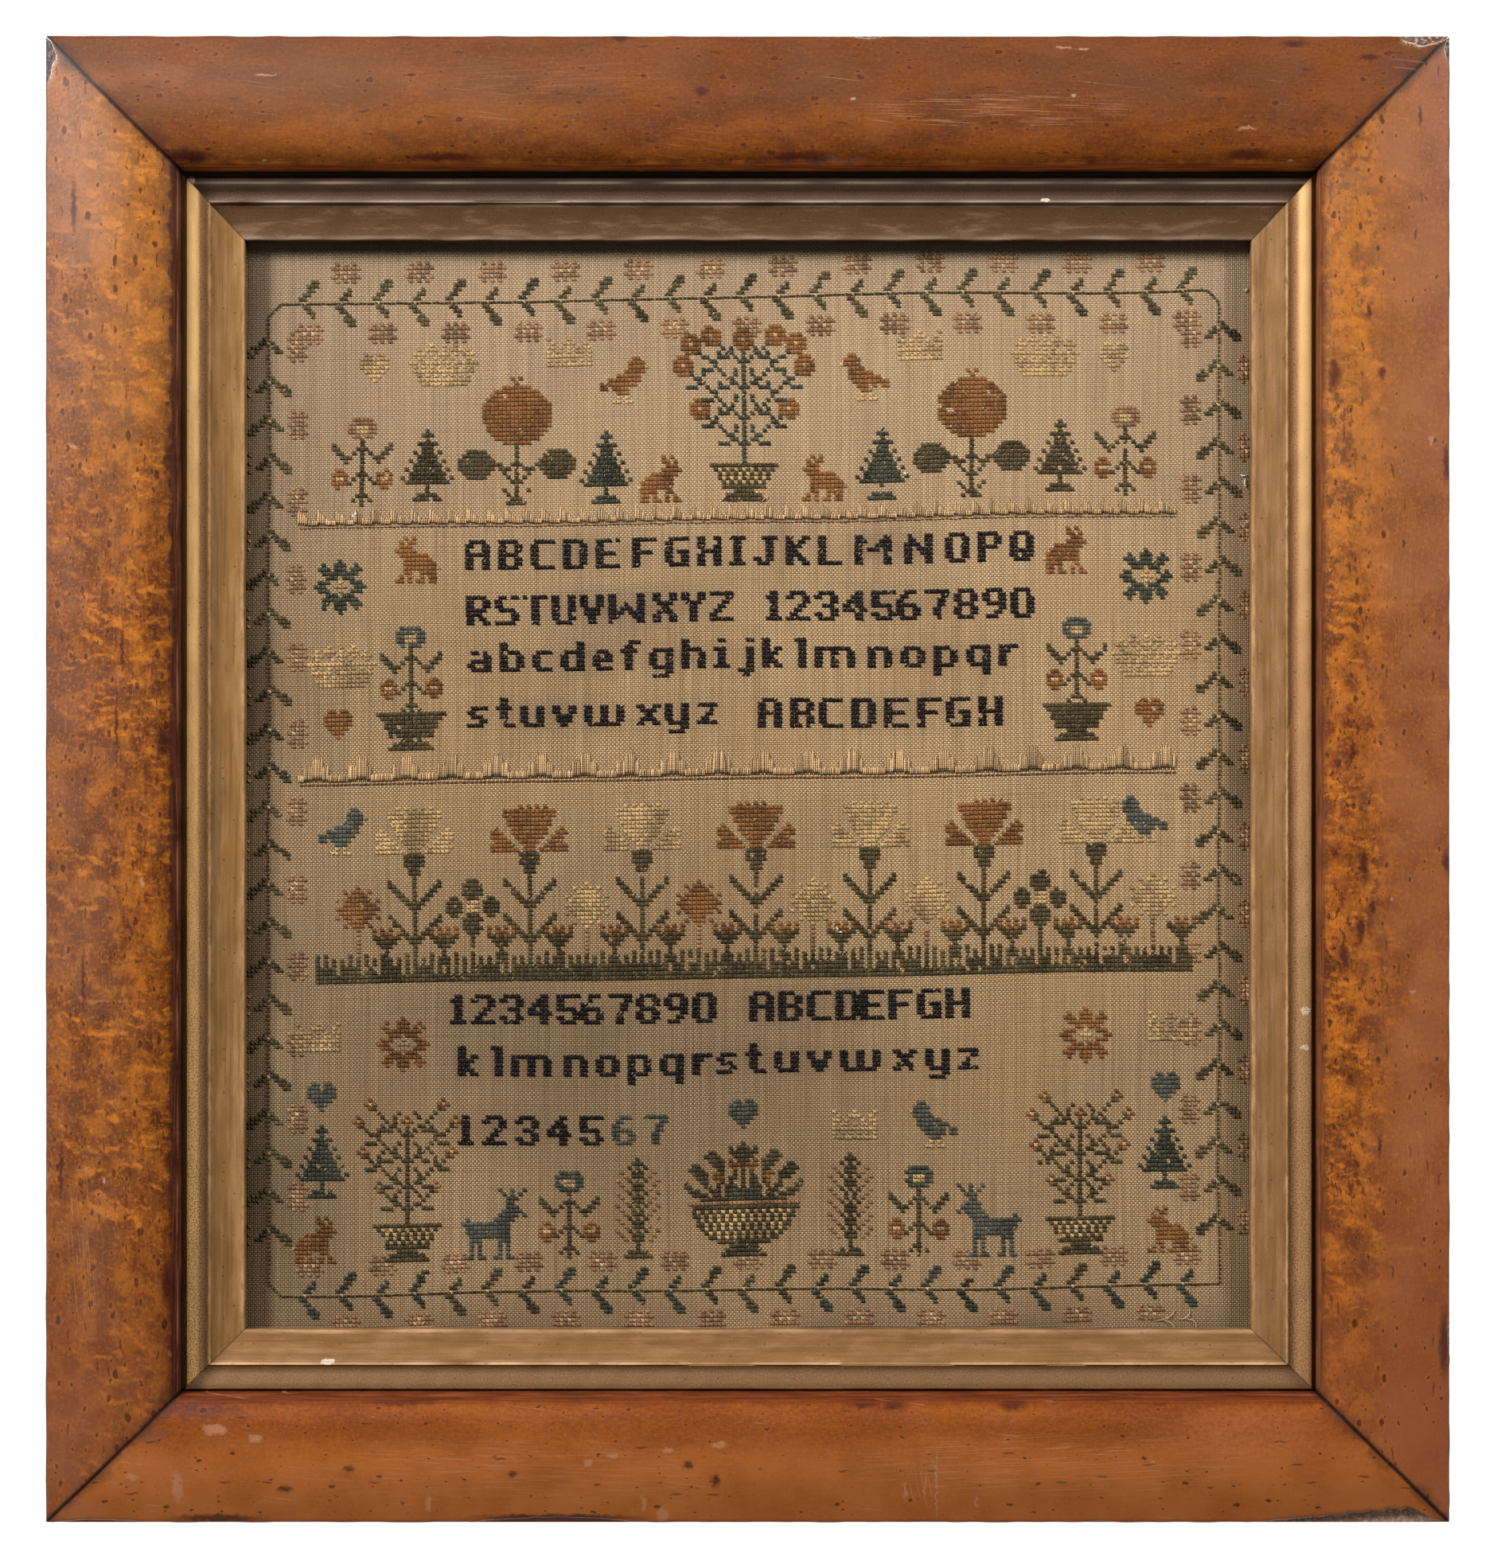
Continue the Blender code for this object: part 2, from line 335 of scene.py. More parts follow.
# Tones of the veneer on each side, from dark to light, and how strongly it is figured. The figure is weaker
# from the outer edge to the share of the width under "figured", and "plain" says how weak.
# glow is where along the side the painted light falls brightest on it, and glow_reach is how far that
# spreads.
# drawn is how far the clouds are drawn out along the grain, and even how little the hazy sheen varies. The
# hazy tone over the outer slope is clouded old polish together with a painted sheen, and the crown's
# darkening on some sides is painted shade. band is how golden the crown is at the two ends of the side, and
# eye_size how large its eyes are. The last pair on a long side is from where to where its lower end goes
# duller, which is painted shade, and the tone there
MAPLE = {
    "left": dict(
        deep=(66, 25, 8), base=(108, 53, 16), gold=(196, 117, 34), haze_and_sheen=(118, 74, 50), crown_shade=0.0,
        large=0.65, small=0.85, drift=0.50, blots=0.45, curls=0.30, eyes=0.50, dashes=0.10, figured=0.10,
        plain=0.65, cloudy_sheen=0.36, even=0.25, drawn=(0.110, 0.130), sparkle=1.2, band=(0.20, 0.20),
        eye_size=1.0, scratched=0.10, glow=-165.0, glow_reach=120.0, glow_gain=0.20,
        dull_shade=(100.0, 200.0), dull_shade_tone=(124, 68, 36),
    ),
    "right": dict(
        deep=(64, 26, 15), base=(122, 60, 20), gold=(208, 122, 36), haze_and_sheen=(174, 104, 58), crown_shade=0.12,
        large=0.90, small=0.95, drift=0.62, blots=0.9, curls=0.40, eyes=0.34, dashes=0.05, figured=0.36,
        plain=0.30, cloudy_sheen=0.62, even=0.45, drawn=(0.100, 0.120), sparkle=1.2, band=(0.10, 0.55),
        eye_size=0.9, scratched=0.10, glow=150.0, glow_reach=150.0, glow_gain=0.18,
        dull_shade=(-90.0, -190.0), dull_shade_tone=(146, 80, 42),
    ),
    "top": dict(
        deep=(62, 27, 10), base=(106, 54, 17), gold=(164, 90, 28), haze_and_sheen=(92, 56, 34), crown_shade=0.0,
        large=0.12, small=0.22, drift=0.34, blots=0.14, curls=0.35, eyes=0.48, dashes=0.06, figured=0.20,
        plain=0.60, cloudy_sheen=0.45, even=0.40, drawn=(0.022, 0.100), sparkle=0.80, band=(0.10, 0.10),
        eye_size=0.78, scratched=0.22, glow=130.0, glow_reach=120.0, glow_gain=0.05,
    ),
    "bottom": dict(
        deep=(92, 40, 14), base=(142, 72, 22), gold=(186, 104, 32), haze_and_sheen=(214, 126, 62), crown_shade=0.18,
        large=0.10, small=0.16, drift=0.30, blots=0.18, curls=0.30, eyes=0.42, dashes=0.05, figured=0.20,
        plain=0.60, cloudy_sheen=0.66, even=0.62, drawn=(0.020, 0.090), sparkle=0.90, band=(0.0, 0.0),
        eye_size=0.66, scratched=0.42, glow=0.0, glow_reach=200.0, glow_gain=0.02,
    ),
}
EYE_BROWN = colour(60, 23, 13)
POLISH_BROWN = colour(64, 22, 18)

# Dark marks in the wood: place along the side, distance in from its outer edge, half length and half width
MARKS = {
    "left": (
        (-11.0, 36.2, 5.2, 2.0),
        (21.6, 35.6, 3.0, 1.6),
        (-15.3, 22.3, 12.0, 0.35),
        (-40.0, 24.0, 6.0, 0.40),
        (60.0, 12.0, 9.0, 0.50),
        (-172.0, 9.0, 7.0, 0.80),
        (118.0, 5.0, 8.0, 0.60),
        (152.0, 37.4, 6.0, 1.8),
        (-96.0, 37.6, 5.0, 1.3),
    ),
    "right": (
        (-26.0, 26.6, 4.6, 1.3),
        (-44.5, 27.8, 4.8, 1.0),
        (-38.5, 24.2, 2.0, 0.8),
        (9.5, 30.4, 2.6, 0.7),
        (121.0, 35.6, 5.0, 1.8),
        (140.5, 25.4, 2.2, 0.7),
        (122.0, 21.4, 1.6, 1.2),
        (-25.0, 1.2, 3.0, 1.0),
        (95.0, 1.2, 5.0, 0.9),
        (-170.0, 1.8, 9.0, 1.6),
        (-52.5, 33.0, 2.6, 1.2),
        (-110.0, 22.0, 3.0, 0.6),
        (199.5, 9.4, 3.0, 0.6),
    ),
    "top": (
        (-16.0, 37.6, 9.0, 1.8),
        (-150.0, 36.6, 6.0, 1.6),
        (92.0, 37.4, 10.0, 1.3),
        (14.0, 17.5, 2.0, 1.1),
        (38.0, 0.8, 3.0, 0.8),
        (-187.2, 6.8, 3.2, 0.8),
        (-164.8, 2.6, 3.5, 1.2),
        (168.0, 37.4, 5.0, 1.8),
    ),
    "bottom": (
        (35.0, 36.8, 5.0, 1.5),
        (44.0, 36.2, 3.6, 1.7),
        (79.5, 36.6, 4.0, 1.8),
        (-104.0, 37.4, 9.0, 1.5),
        (-160.0, 1.4, 12.0, 1.2),
        (-58.0, 1.6, 22.0, 1.0),
        (-120.0, 16.9, 1.5, 0.9),
        (-18.0, 18.2, 1.5, 1.1),
        (-9.7, 13.2, 1.2, 2.0),
        (-139.3, 10.6, 2.0, 0.9),
        (-70.8, 15.4, 1.0, 0.9),
    ),
}

# Stains: place along the side, distance in, half length, half width, colour and strength
STAINS = {
    "left": (
        (-186.0, 13.0, 30.0, 11.0, (176, 126, 100), 0.42),
        (-205.0, 26.0, 4.0, 3.0, (190, 110, 40), 0.35),
        (-217.0, 7.0, 4.0, 3.2, (60, 32, 24), 0.75),
        (-130.5, 39.4, 1.4, 0.6, (200, 160, 140), 0.75),
        (206.0, 6.0, 5.0, 4.0, (104, 80, 76), 0.55),
        (188.0, 37.0, 7.0, 2.0, (52, 28, 26), 0.60),
    ),
    "right": (
        (214.0, 7.0, 6.0, 4.5, (84, 44, 44), 0.60),
        (190.0, 18.0, 8.0, 5.0, (122, 82, 80), 0.60),
        (180.0, 28.0, 6.0, 4.0, (112, 70, 62), 0.55),
        (-195.0, 14.0, 14.0, 9.0, (176, 112, 72), 0.45),
        (-150.0, 14.0, 9.0, 4.0, (188, 120, 76), 0.30),
        (176.0, 33.0, 9.0, 3.0, (150, 96, 70), 0.35),
    ),
    "top": (
        (206.0, 6.0, 3.6, 3.0, (60, 32, 24), 0.70),
        (169.0, 37.2, 8.0, 2.6, (46, 22, 20), 0.85),
        (-197.0, 10.0, 7.0, 4.5, (84, 44, 44), 0.60),
        (-21.0, 38.4, 13.0, 1.2, (142, 112, 100), 0.50),
        (120.0, 8.0, 20.0, 5.0, (128, 76, 46), 0.35),
    ),
    "bottom": (
        (-205.0, 4.0, 9.0, 3.6, (124, 96, 92), 0.75),
        (-166.0, 35.5, 14.0, 2.6, (84, 46, 42), 0.80),
        (-179.0, 27.0, 5.0, 3.0, (108, 68, 64), 0.60),
        (-182.0, 16.0, 16.0, 6.0, (170, 110, 80), 0.40),
        (-145.9, 3.0, 9.0, 2.4, (88, 44, 36), 0.70),
        (186.0, 8.0, 12.0, 3.0, (120, 74, 52), 0.45),
        (150.0, 26.0, 24.0, 8.0, (196, 116, 74), 0.40),
    ),
}

# Small pale drips and rubbed spots: place along the side, distance in, half length and half width
SPOTS = {
    "left": ((-100.0, 9.0, 0.8, 1.2), (31.0, 30.0, 1.1, 0.5)),
    "right": ((102.0, 6.0, 1.2, 0.5), (-64.0, 12.0, 0.7, 1.0)),
    "top": (
        (145.0, 12.5, 3.0, 0.3), (-95.0, 4.0, 2.2, 0.4), (-101.0, 4.4, 1.6, 0.4), (-150.0, 29.0, 2.6, 0.5),
    ),
    "bottom": (
        (-160.0, 29.0, 3.2, 1.6), (-185.0, 14.5, 1.7, 1.2), (-171.5, 11.0, 1.5, 4.6),
        (-147.8, 26.2, 1.9, 1.3),
        (-48.0, 18.8, 1.2, 0.9), (-40.7, 21.1, 1.5, 0.7), (-8.5, 24.3, 2.6, 1.0), (-24.0, 22.6, 1.6, 0.8),
        (-96.0, 6.2, 0.9, 2.8), (-25.7, 2.7, 1.4, 2.6), (-31.2, 6.2, 0.9, 2.4), (68.8, 6.5, 0.6, 1.6),
        (56.8, 11.5, 0.30, 10.5), (53.3, 11.8, 0.35, 3.4), (47.4, 10.5, 0.40, 2.8),
    ),
}

# Patches of fine pale scratches: place along the side, distance in, half length, half width, heading and
# strength
SCRATCHED = {
    "left": ((-60.0, 20.0, 20.0, 5.0, 4.0, 0.10), (140.0, 12.0, 24.0, 6.0, -5.0, 0.14)),
    "right": ((60.0, 16.0, 26.0, 6.0, 3.0, 0.12), (-120.0, 10.0, 22.0, 5.0, -4.0, 0.12)),
    "top": ((-77.0, 23.5, 38.0, 5.0, 1.0, 0.24), (60.0, 14.0, 40.0, 6.0, -2.0, 0.08)),
    "bottom": (
        (-70.0, 16.0, 60.0, 9.0, 1.5, 0.20),
        (90.0, 18.0, 60.0, 9.0, -2.0, 0.26),
        (52.0, 13.5, 5.0, 7.5, 78.0, 0.35),
    ),
}


def quilt(paint, vector, scale, reach, detail):
    """Soft folds lit from one side: rises along one flank of each fold and falls along the other."""
    folds = []
    for shift in ((0.0, 0.0, 0.0), reach):
        height = paint.noise(paint.scaled(paint.shifted(vector, shift), scale), 1.0, detail, 0.5)
        folds.append(paint.maths("ABSOLUTE", paint.maths("SUBTRACT", height, 0.5)))
    return paint.maths("SUBTRACT", folds[1], folds[0])


def eyes(paint, tone, bent, look, cell, small, large, share, hollow):
    """Bird's eyes: dark ovals, hollow if large, a little gold beside them. Gives the tone and the dents."""
    distance, random = paint.cells(paint.scaled(bent, (0.56 / cell, 1 / cell, 0.0)), 1.0)
    radius = paint.lerp(random[0], 0.86 * small / cell, 0.86 * large / cell)
    ratio = paint.maths("DIVIDE", distance, radius)
    crowd = paint.noise(bent, 0.050, 2.0, 0.5)
    chance = paint.maths("ADD", random[1], paint.lerp(crowd, -0.9, 0.9))
    keep = paint.between(chance, 1.0 - share, 1.03 - share)
    dark = paint.maths("MULTIPLY", paint.between(ratio, 1.35, 0.65), keep)
    ring = paint.maths("MULTIPLY", paint.between(ratio, 3.2, 1.2), paint.between(ratio, 0.9, 1.4))
    ring = paint.maths("MULTIPLY", ring, keep)
    tone = paint.mix(paint.maths("MULTIPLY", ring, 0.12), tone, colour(*look["gold"]))
    tone = paint.mix(paint.maths("MULTIPLY", dark, 0.74 if hollow else 0.58), tone, EYE_BROWN)
    if hollow:
        core = paint.maths("MULTIPLY", paint.between(ratio, 0.50, 0.15), keep)
        tone = paint.mix(paint.maths("MULTIPLY", core, 0.50), tone, colour(104, 60, 38))
    return tone, dark


def oval(paint, where, row, outside=1.25, inside=0.70):
    """1 within an oval given by place along and across and half length and half width, 0 outside it."""
    along, across, half_length, half_width = row[:4]
    centred = paint.shifted(where, (-along, -across, 0.0))
    squashed = paint.scaled(centred, (1 / half_length, 1 / half_width, 0.0))
    length = paint.node("ShaderNodeVectorMath", {0: squashed}, operation="LENGTH").outputs["Value"]
    return paint.between(length, outside, inside)


def largest(paint, masks):
    """The largest of several masks."""
    total = masks[0]
    for mask in masks[1:]:
        total = paint.maths("MAXIMUM", total, mask)
    return total


def stains(paint, tone, place, side):
    """The stains that are listed, with ragged ends and broken up inside."""
    loose = paint.jiggle(place, 0.30, (5.0, 5.0, 0.0))
    speckled = paint.noise(place, 0.55, 5.0, 0.75)
    whole = paint.between(speckled, 0.40, 0.58, 0.45, 1.0)
    for row in STAINS[side]:
        stain = paint.maths("MULTIPLY", oval(paint, loose, row, 1.5, 0.5), whole)
        tone = paint.mix(paint.maths("MULTIPLY", stain, row[5]), tone, colour(*row[4]))
    return tone


def marks(paint, tone, place, side):
    """The dark marks, scratched patches and pale spots that are listed, with ragged ends."""
    loose = paint.jiggle(place, 0.30, (5.0, 5.0, 0.0))
    ragged = paint.jiggle(place, 0.55, (3.4, 2.4, 0.0))
    dark = largest(paint, [oval(paint, ragged, row, 1.6, 0.4) for row in MARKS[side]])
    tone = paint.mix(paint.maths("MULTIPLY", dark, 0.80), tone, POLISH_BROWN)
    for row in SCRATCHED[side]:
        patch = oval(paint, loose, row, 1.4, 0.6)
        turned = paint.turned(place, math.radians(row[4]))
        lines = paint.noise(paint.scaled(turned, (0.06, 2.6, 1.0)), 1.0, 2.0, 0.5)
        lines = paint.maths("MULTIPLY", paint.between(lines, 0.55, 0.62), patch)
        tone = paint.mix(paint.maths("MULTIPLY", lines, row[5]), tone, colour(214, 164, 124))
    pale = largest(paint, [oval(paint, ragged, row, 1.4, 0.6) for row in SPOTS[side]])
    return paint.mix(paint.maths("MULTIPLY", pale, 0.38), tone, colour(214, 164, 128))


def maple(side):
    """Bird's eye maple under old orange polish."""
    look = MAPLE[side]
    deep, base, gold = (colour(*look[key]) for key in ("deep", "base", "gold"))
    paint = Paint(f"birdseye_maple_{side}", Coat_Roughness=0.25, Coat_IOR=1.5)
    place = paint.place()
    here = paint.shifted(place, (900.0 * SIDES.index(side), 0.0, 0.0))
    flow = paint.jiggle(here, 0.07, (9.0, 9.0, 0.0))
    bent = paint.jiggle(here, 0.45, (2.0, 1.6, 0.0))
    share = paint.attribute("across")
    crown = paint.between(share, look["figured"], look["figured"] + 0.35, look["plain"], 1.0)

    # Quilted figure: large folds and small ones, gold on one flank and brown on the other, in loose groups
    crowd = paint.noise(here, 0.030, 3.0, 0.5)
    group = paint.maths("MULTIPLY", paint.between(crowd, 0.36, 0.60, 0.25, 1.0), crown)
    large = quilt(paint, flow, (0.075, 0.045, 1.0), (3.4, -2.2, 0.0), 2.0)
    small = quilt(paint, bent, (0.21, 0.13, 1.0), (1.2, -0.8, 0.0), 2.0)
    large_fold = paint.maths("MULTIPLY", large, look["large"])
    small_fold = paint.maths("MULTIPLY", small, look["small"])
    fold = paint.maths("ADD", large_fold, small_fold)
    fold = paint.maths("MULTIPLY", fold, group)
    tone = paint.mix(paint.between(fold, 0.0, 0.12, 0.0, 0.95), base, gold)
    tone = paint.mix(paint.between(fold, 0.0, -0.16, 0.0, 0.50), tone, deep)
    drift = paint.noise(paint.scaled(flow, (*look["drawn"], 1.0)), 1.0, 3.0, 0.5)
    drifts = paint.maths("MULTIPLY", crown, look["drift"])
    tone = paint.mix(paint.maths("MULTIPLY", paint.between(drift, 0.44, 0.64), drifts), tone, gold)
    tone = paint.mix(paint.maths("MULTIPLY", paint.between(drift, 0.48, 0.34), drifts), tone, deep)

    # Fine fibres and sparkle
    fibre = paint.noise(paint.scaled(bent, (0.20, 2.6, 1.0)), 1.0, 4.0, 0.7)
    tone = paint.mix(paint.between(fibre, 0.50, 0.68, 0.0, 0.42), tone, deep)
    tone = paint.mix(paint.between(fibre, 0.46, 0.32, 0.0, 0.30), tone, gold)
    glint = paint.noise(here, 0.85, 4.0, 0.75)
    tone = paint.mix(paint.between(glint, 0.52, 0.68, 0.0, 0.55 * look["sparkle"]), tone, gold)
    tone = paint.mix(paint.between(glint, 0.48, 0.34, 0.0, 0.50 * look["sparkle"]), tone, deep)

    # A golden band inside the crown, and thin brown curls in clusters
    golden = paint.maths("MULTIPLY", paint.between(share, 0.44, 0.66), paint.between(share, 0.95, 0.86))
    mottle = paint.noise(bent, 0.20, 3.0, 0.6)
    gilded = paint.between(paint.split(place)[0], -200.0, 200.0, *look["band"])
    mottled_gold = paint.maths("MULTIPLY", paint.between(mottle, 0.42, 0.58), gilded)
    golden = paint.maths("MULTIPLY", golden, mottled_gold)
    tone = paint.mix(golden, tone, gold)
    curl = paint.maths("ABSOLUTE", paint.maths("SUBTRACT", paint.noise(bent, 0.26, 3.0, 0.6), 0.5))
    curl = paint.maths("MULTIPLY", paint.between(curl, 0.034, 0.004), paint.between(crowd, 0.44, 0.56))
    curl = paint.maths("MULTIPLY", curl, paint.between(share, 0.30, 0.60, 0.45, 1.0))
    tone = paint.mix(paint.maths("MULTIPLY", curl, look["curls"]), tone, colour(88, 42, 20))

    # Dark ragged blots in clusters
    blots = paint.noise(paint.scaled(bent, (0.34, 0.50, 1.0)), 1.0, 3.0, 0.6)
    cluster = paint.noise(here, 0.075, 2.0, 0.5)
    near_crown = paint.between(share, 0.40, 0.62, 0.4, 1.0)
    level = paint.maths("ADD", blots, paint.maths("MULTIPLY", cluster, 0.55))
    blot = paint.maths("MULTIPLY", paint.between(level, 0.84, 0.94), near_crown)
    tone = paint.mix(paint.maths("MULTIPLY", blot, look["blots"]), tone, colour(76, 31, 17))
    # Painted shade: the crown darkened on some sides
    tone = paint.mix(paint.between(share, 0.55, 0.74, 0.0, look["crown_shade"]), tone, deep)

    tone = stains(paint, tone, place, side)

    # Clouded old polish with a painted sheen over the outer slope, painted light at one end of the long
    # rails, and painted shade that makes their lower ends duller
    cloud = paint.noise(here, 0.045, 4.0, 0.55)
    outward = paint.between(share, 0.84, 0.35)
    bloom = paint.maths("MULTIPLY", outward, paint.between(cloud, 0.32, 0.62, look["even"], 1.0))
    tone = paint.mix(paint.maths("MULTIPLY", bloom, look["cloudy_sheen"]), tone, colour(*look["haze_and_sheen"]))
    along = paint.split(place)[0]
    offset = paint.maths("ABSOLUTE", paint.maths("SUBTRACT", along, look["glow"]))
    near = paint.between(offset, look["glow_reach"], 20.0, 0.0, look["glow_gain"])
    near = paint.maths("MULTIPLY", near, paint.between(share, 0.05, 0.65, 0.10, 1.0))
    tone = paint.mix(near, tone, colour(214, 150, 84))
    if "dull_shade" in look:
        dulled = paint.between(along, *look["dull_shade"], 0.0, 0.60)
        tone = paint.mix(dulled, tone, colour(*look["dull_shade_tone"]))

    dents = None
    families = ((7.5, 0.50, 0.95, 0.9, True), (4.4, 0.30, 0.52, 0.9, True), (3.0, 0.18, 0.32, 0.8, False))
    for cell, least, most, chance, hollow in families:
        least, most = least * look["eye_size"], most * look["eye_size"]
        tone, dark = eyes(paint, tone, bent, look, cell, least, most, chance * look["eyes"], hollow)
        dents = dark if dents is None else paint.maths("MAXIMUM", dents, dark)

    # Short dark dashes along the grain
    distance, random = paint.cells(paint.scaled(bent, (0.085, 0.55, 0.0)), 1.0)
    chance = 1.0 - look["dashes"]
    near_dash = paint.between(distance, 0.22, 0.08)
    dash = paint.maths("MULTIPLY", near_dash, paint.between(random[1], chance, chance + 0.01))
    tone = paint.mix(paint.maths("MULTIPLY", dash, 0.60), tone, EYE_BROWN)
    tone = marks(paint, tone, place, side)

    # The rolled inner edge goes to dark red with a ragged border, a stain with painted shade in it, and is
    # rubbed pale in a broken line that is also a painted highlight
    begin, end, wander = ROLL_BORDER[side]
    ragged = paint.lerp(paint.noise(here, 0.16, 5.0, 0.65), -wander, wander)
    border = paint.maths("ADD", share, ragged)
    rolled = paint.between(border, begin, end)
    streaks = paint.noise(paint.scaled(here, (0.05, 2.2, 1.0)), 1.0, 3.0, 0.6)
    roll_stain_and_shading = paint.mix(paint.between(streaks, 0.35, 0.7), *(colour(*tint) for tint in ROLL_STAIN_AND_SHADING[side]))
    tone = paint.mix(paint.maths("MULTIPLY", rolled, 0.90), tone, roll_stain_and_shading)
    rim = paint.maths("MULTIPLY", paint.between(share, 0.975, 0.982), paint.between(share, 0.992, 0.986))
    rim = paint.maths("MULTIPLY", rim, paint.between(streaks, 0.46, 0.62))
    tone = paint.mix(paint.maths("MULTIPLY", rim, RIM_RUB_AND_HIGHLIGHT[side]), tone, colour(160, 124, 104))

    # Dirt in the mitres and along the outer edge
    smudge = paint.noise(here, 0.11, 4.0, 0.6)
    mitre = paint.maths("MULTIPLY", paint.attribute("mitre"), 1 / MM)
    reach = paint.maths("MULTIPLY", paint.between(smudge, 0.36, 0.66), paint.lerp(share, 4.0, 10.0))
    smudged = paint.between(mitre, paint.maths("ADD", reach, 2.0), 0.0, 0.0, 0.55)
    tone = paint.mix(smudged, tone, colour(60, 30, 22))
    width = paint.lerp(smudge, 0.5, 2.1)
    near_mitre = paint.between(mitre, width, 0.3)
    line = paint.maths("MULTIPLY", near_mitre, paint.between(smudge, 0.30, 0.50, 0.75, 0.95))
    tone = paint.mix(line, tone, colour(32, 15, 10))
    edge = paint.between(share, paint.maths("MULTIPLY", smudge, 0.045), 0.0)
    tone = paint.mix(paint.maths("MULTIPLY", edge, 0.65), tone, colour(62, 30, 22))

    # Pale scratches and flecks
    lines = paint.noise(paint.scaled(paint.turned(here, 0.12), (0.018, 1.6, 1.0)), 1.0, 1.0, 0.5)
    scratch = paint.maths("MULTIPLY", paint.between(lines, 0.665, 0.71), paint.between(cloud, 0.53, 0.62))
    tone = paint.mix(paint.maths("MULTIPLY", scratch, look["scratched"]), tone, colour(204, 158, 128))
    distance, random = paint.cells(paint.scaled(bent, (0.03, 0.05, 0.0)), 1.0)
    near_fleck = paint.between(distance, 0.030, 0.015)
    fleck = paint.maths("MULTIPLY", near_fleck, paint.between(random[1], 0.90, 0.91))
    tone = paint.mix(paint.maths("MULTIPLY", fleck, 0.60), tone, colour(186, 160, 140))
    crumbs = paint.between(paint.noise(here, 1.6, 4.0, 0.7), 0.40, 0.52)
    crumbs = paint.maths("MULTIPLY", crumbs, paint.attribute("chip"))
    tone = paint.mix(crumbs, tone, colour(*((74, 44, 38) if side == "bottom" else (206, 184, 162))))
    paint.drive("Base Color", tone)
    shine = paint.between(share, 0.84, 0.90, 1.0, 0.0)
    paint.drive("Coat Weight", paint.maths("MULTIPLY", shine, 0.12))
    paint.drive("Specular IOR Level", paint.lerp(shine, 0.10, 0.28))

    paint.drive("Roughness", paint.between(cloud, 0.3, 0.7, 0.36, 0.52))
    relief = paint.maths("MULTIPLY", fibre, 0.18)
    relief = paint.maths("SUBTRACT", relief, paint.maths("MULTIPLY", dents, 0.30))
    relief = paint.maths("ADD", relief, paint.maths("MULTIPLY", paint.noise(here, 0.9, 2.0, 0.5), 0.4))
    paint.bump(relief, 0.00010, 0.7)
    return paint.material


# How dark the rolled inner edge is on each side, where across the rail it begins, and how far it is rubbed
# pale. The dark red is a stain with painted shade, darkest on the left, the top's is painted much lighter as
# painted light, and the pale line is also a painted highlight
ROLL_STAIN_AND_SHADING = {
    "left": ((54, 24, 18), (104, 54, 38)),
    "right": ((84, 45, 28), (124, 72, 40)),
    "top": ((176, 92, 42), (250, 150, 76)),
    "bottom": ((70, 31, 18), (116, 56, 27)),
}
ROLL_BORDER = {
    "left": (0.915, 0.950, 0.075),
    "right": (0.915, 0.975, 0.060),
    "top": (0.925, 0.985, 0.050),
    "bottom": (0.885, 0.970, 0.025),
}
RIM_RUB_AND_HIGHLIGHT = {"left": 0.60, "right": 0.12, "top": 0.30, "bottom": 0.10}

# Tones of each side's gilding, the top side's much darker: the band tone is the bead next to the wood where
# it is painted lit, a painted highlight, the next tone its painted shaded part and its duller patches, the
# flat is next to the cloth, and the worn tone colours rubbed lines that are also painted highlights
GILT = {
    "left": dict(
        band=(240, 188, 112), dull_shade=(176, 128, 82), flat=(160, 116, 64), pale=(176, 132, 84), rub_and_highlight=0.75,
        worn=(222, 178, 128), broken=(0.34, 0.56),
    ),
    "right": dict(
        band=(172, 126, 76), dull_shade=(184, 132, 84), flat=(148, 106, 60), pale=(164, 120, 80), rub_and_highlight=0.75,
        worn=(214, 172, 124), broken=(0.34, 0.56),
    ),
    "top": dict(
        band=(96, 76, 62), dull_shade=(92, 70, 55), flat=(100, 70, 44), pale=(132, 100, 76), rub_and_highlight=0.95,
        worn=(204, 178, 158), broken=(0.22, 0.42),
    ),
    "bottom": dict(
        band=(138, 98, 60), dull_shade=(124, 88, 54), flat=(138, 98, 54), pale=(154, 112, 72), rub_and_highlight=0.90,
        worn=(218, 178, 136), broken=(0.26, 0.48),
    ),
}

# Bare gesso on the gilding: place along the side, distance in from the frame's edge, half length and half
# width
CHIPS = {
    "left": ((-118.0, 43.6, 0.8, 0.9), (-180.5, 41.4, 1.6, 0.8)),
    "right": ((-70.0, 43.4, 1.2, 1.4), (-81.0, 43.6, 0.9, 1.3)),
    "top": ((168.0, 43.3, 1.1, 1.5), (-90.0, 49.2, 1.4, 0.6)),
    "bottom": ((-127.0, 48.1, 2.2, 0.8),),
}

# From where to where in the noise the flat's rubbed patches show
PATCHY = {"left": (0.42, 0.66), "right": (0.42, 0.64), "top": (0.52, 0.66), "bottom": (0.44, 0.64)}


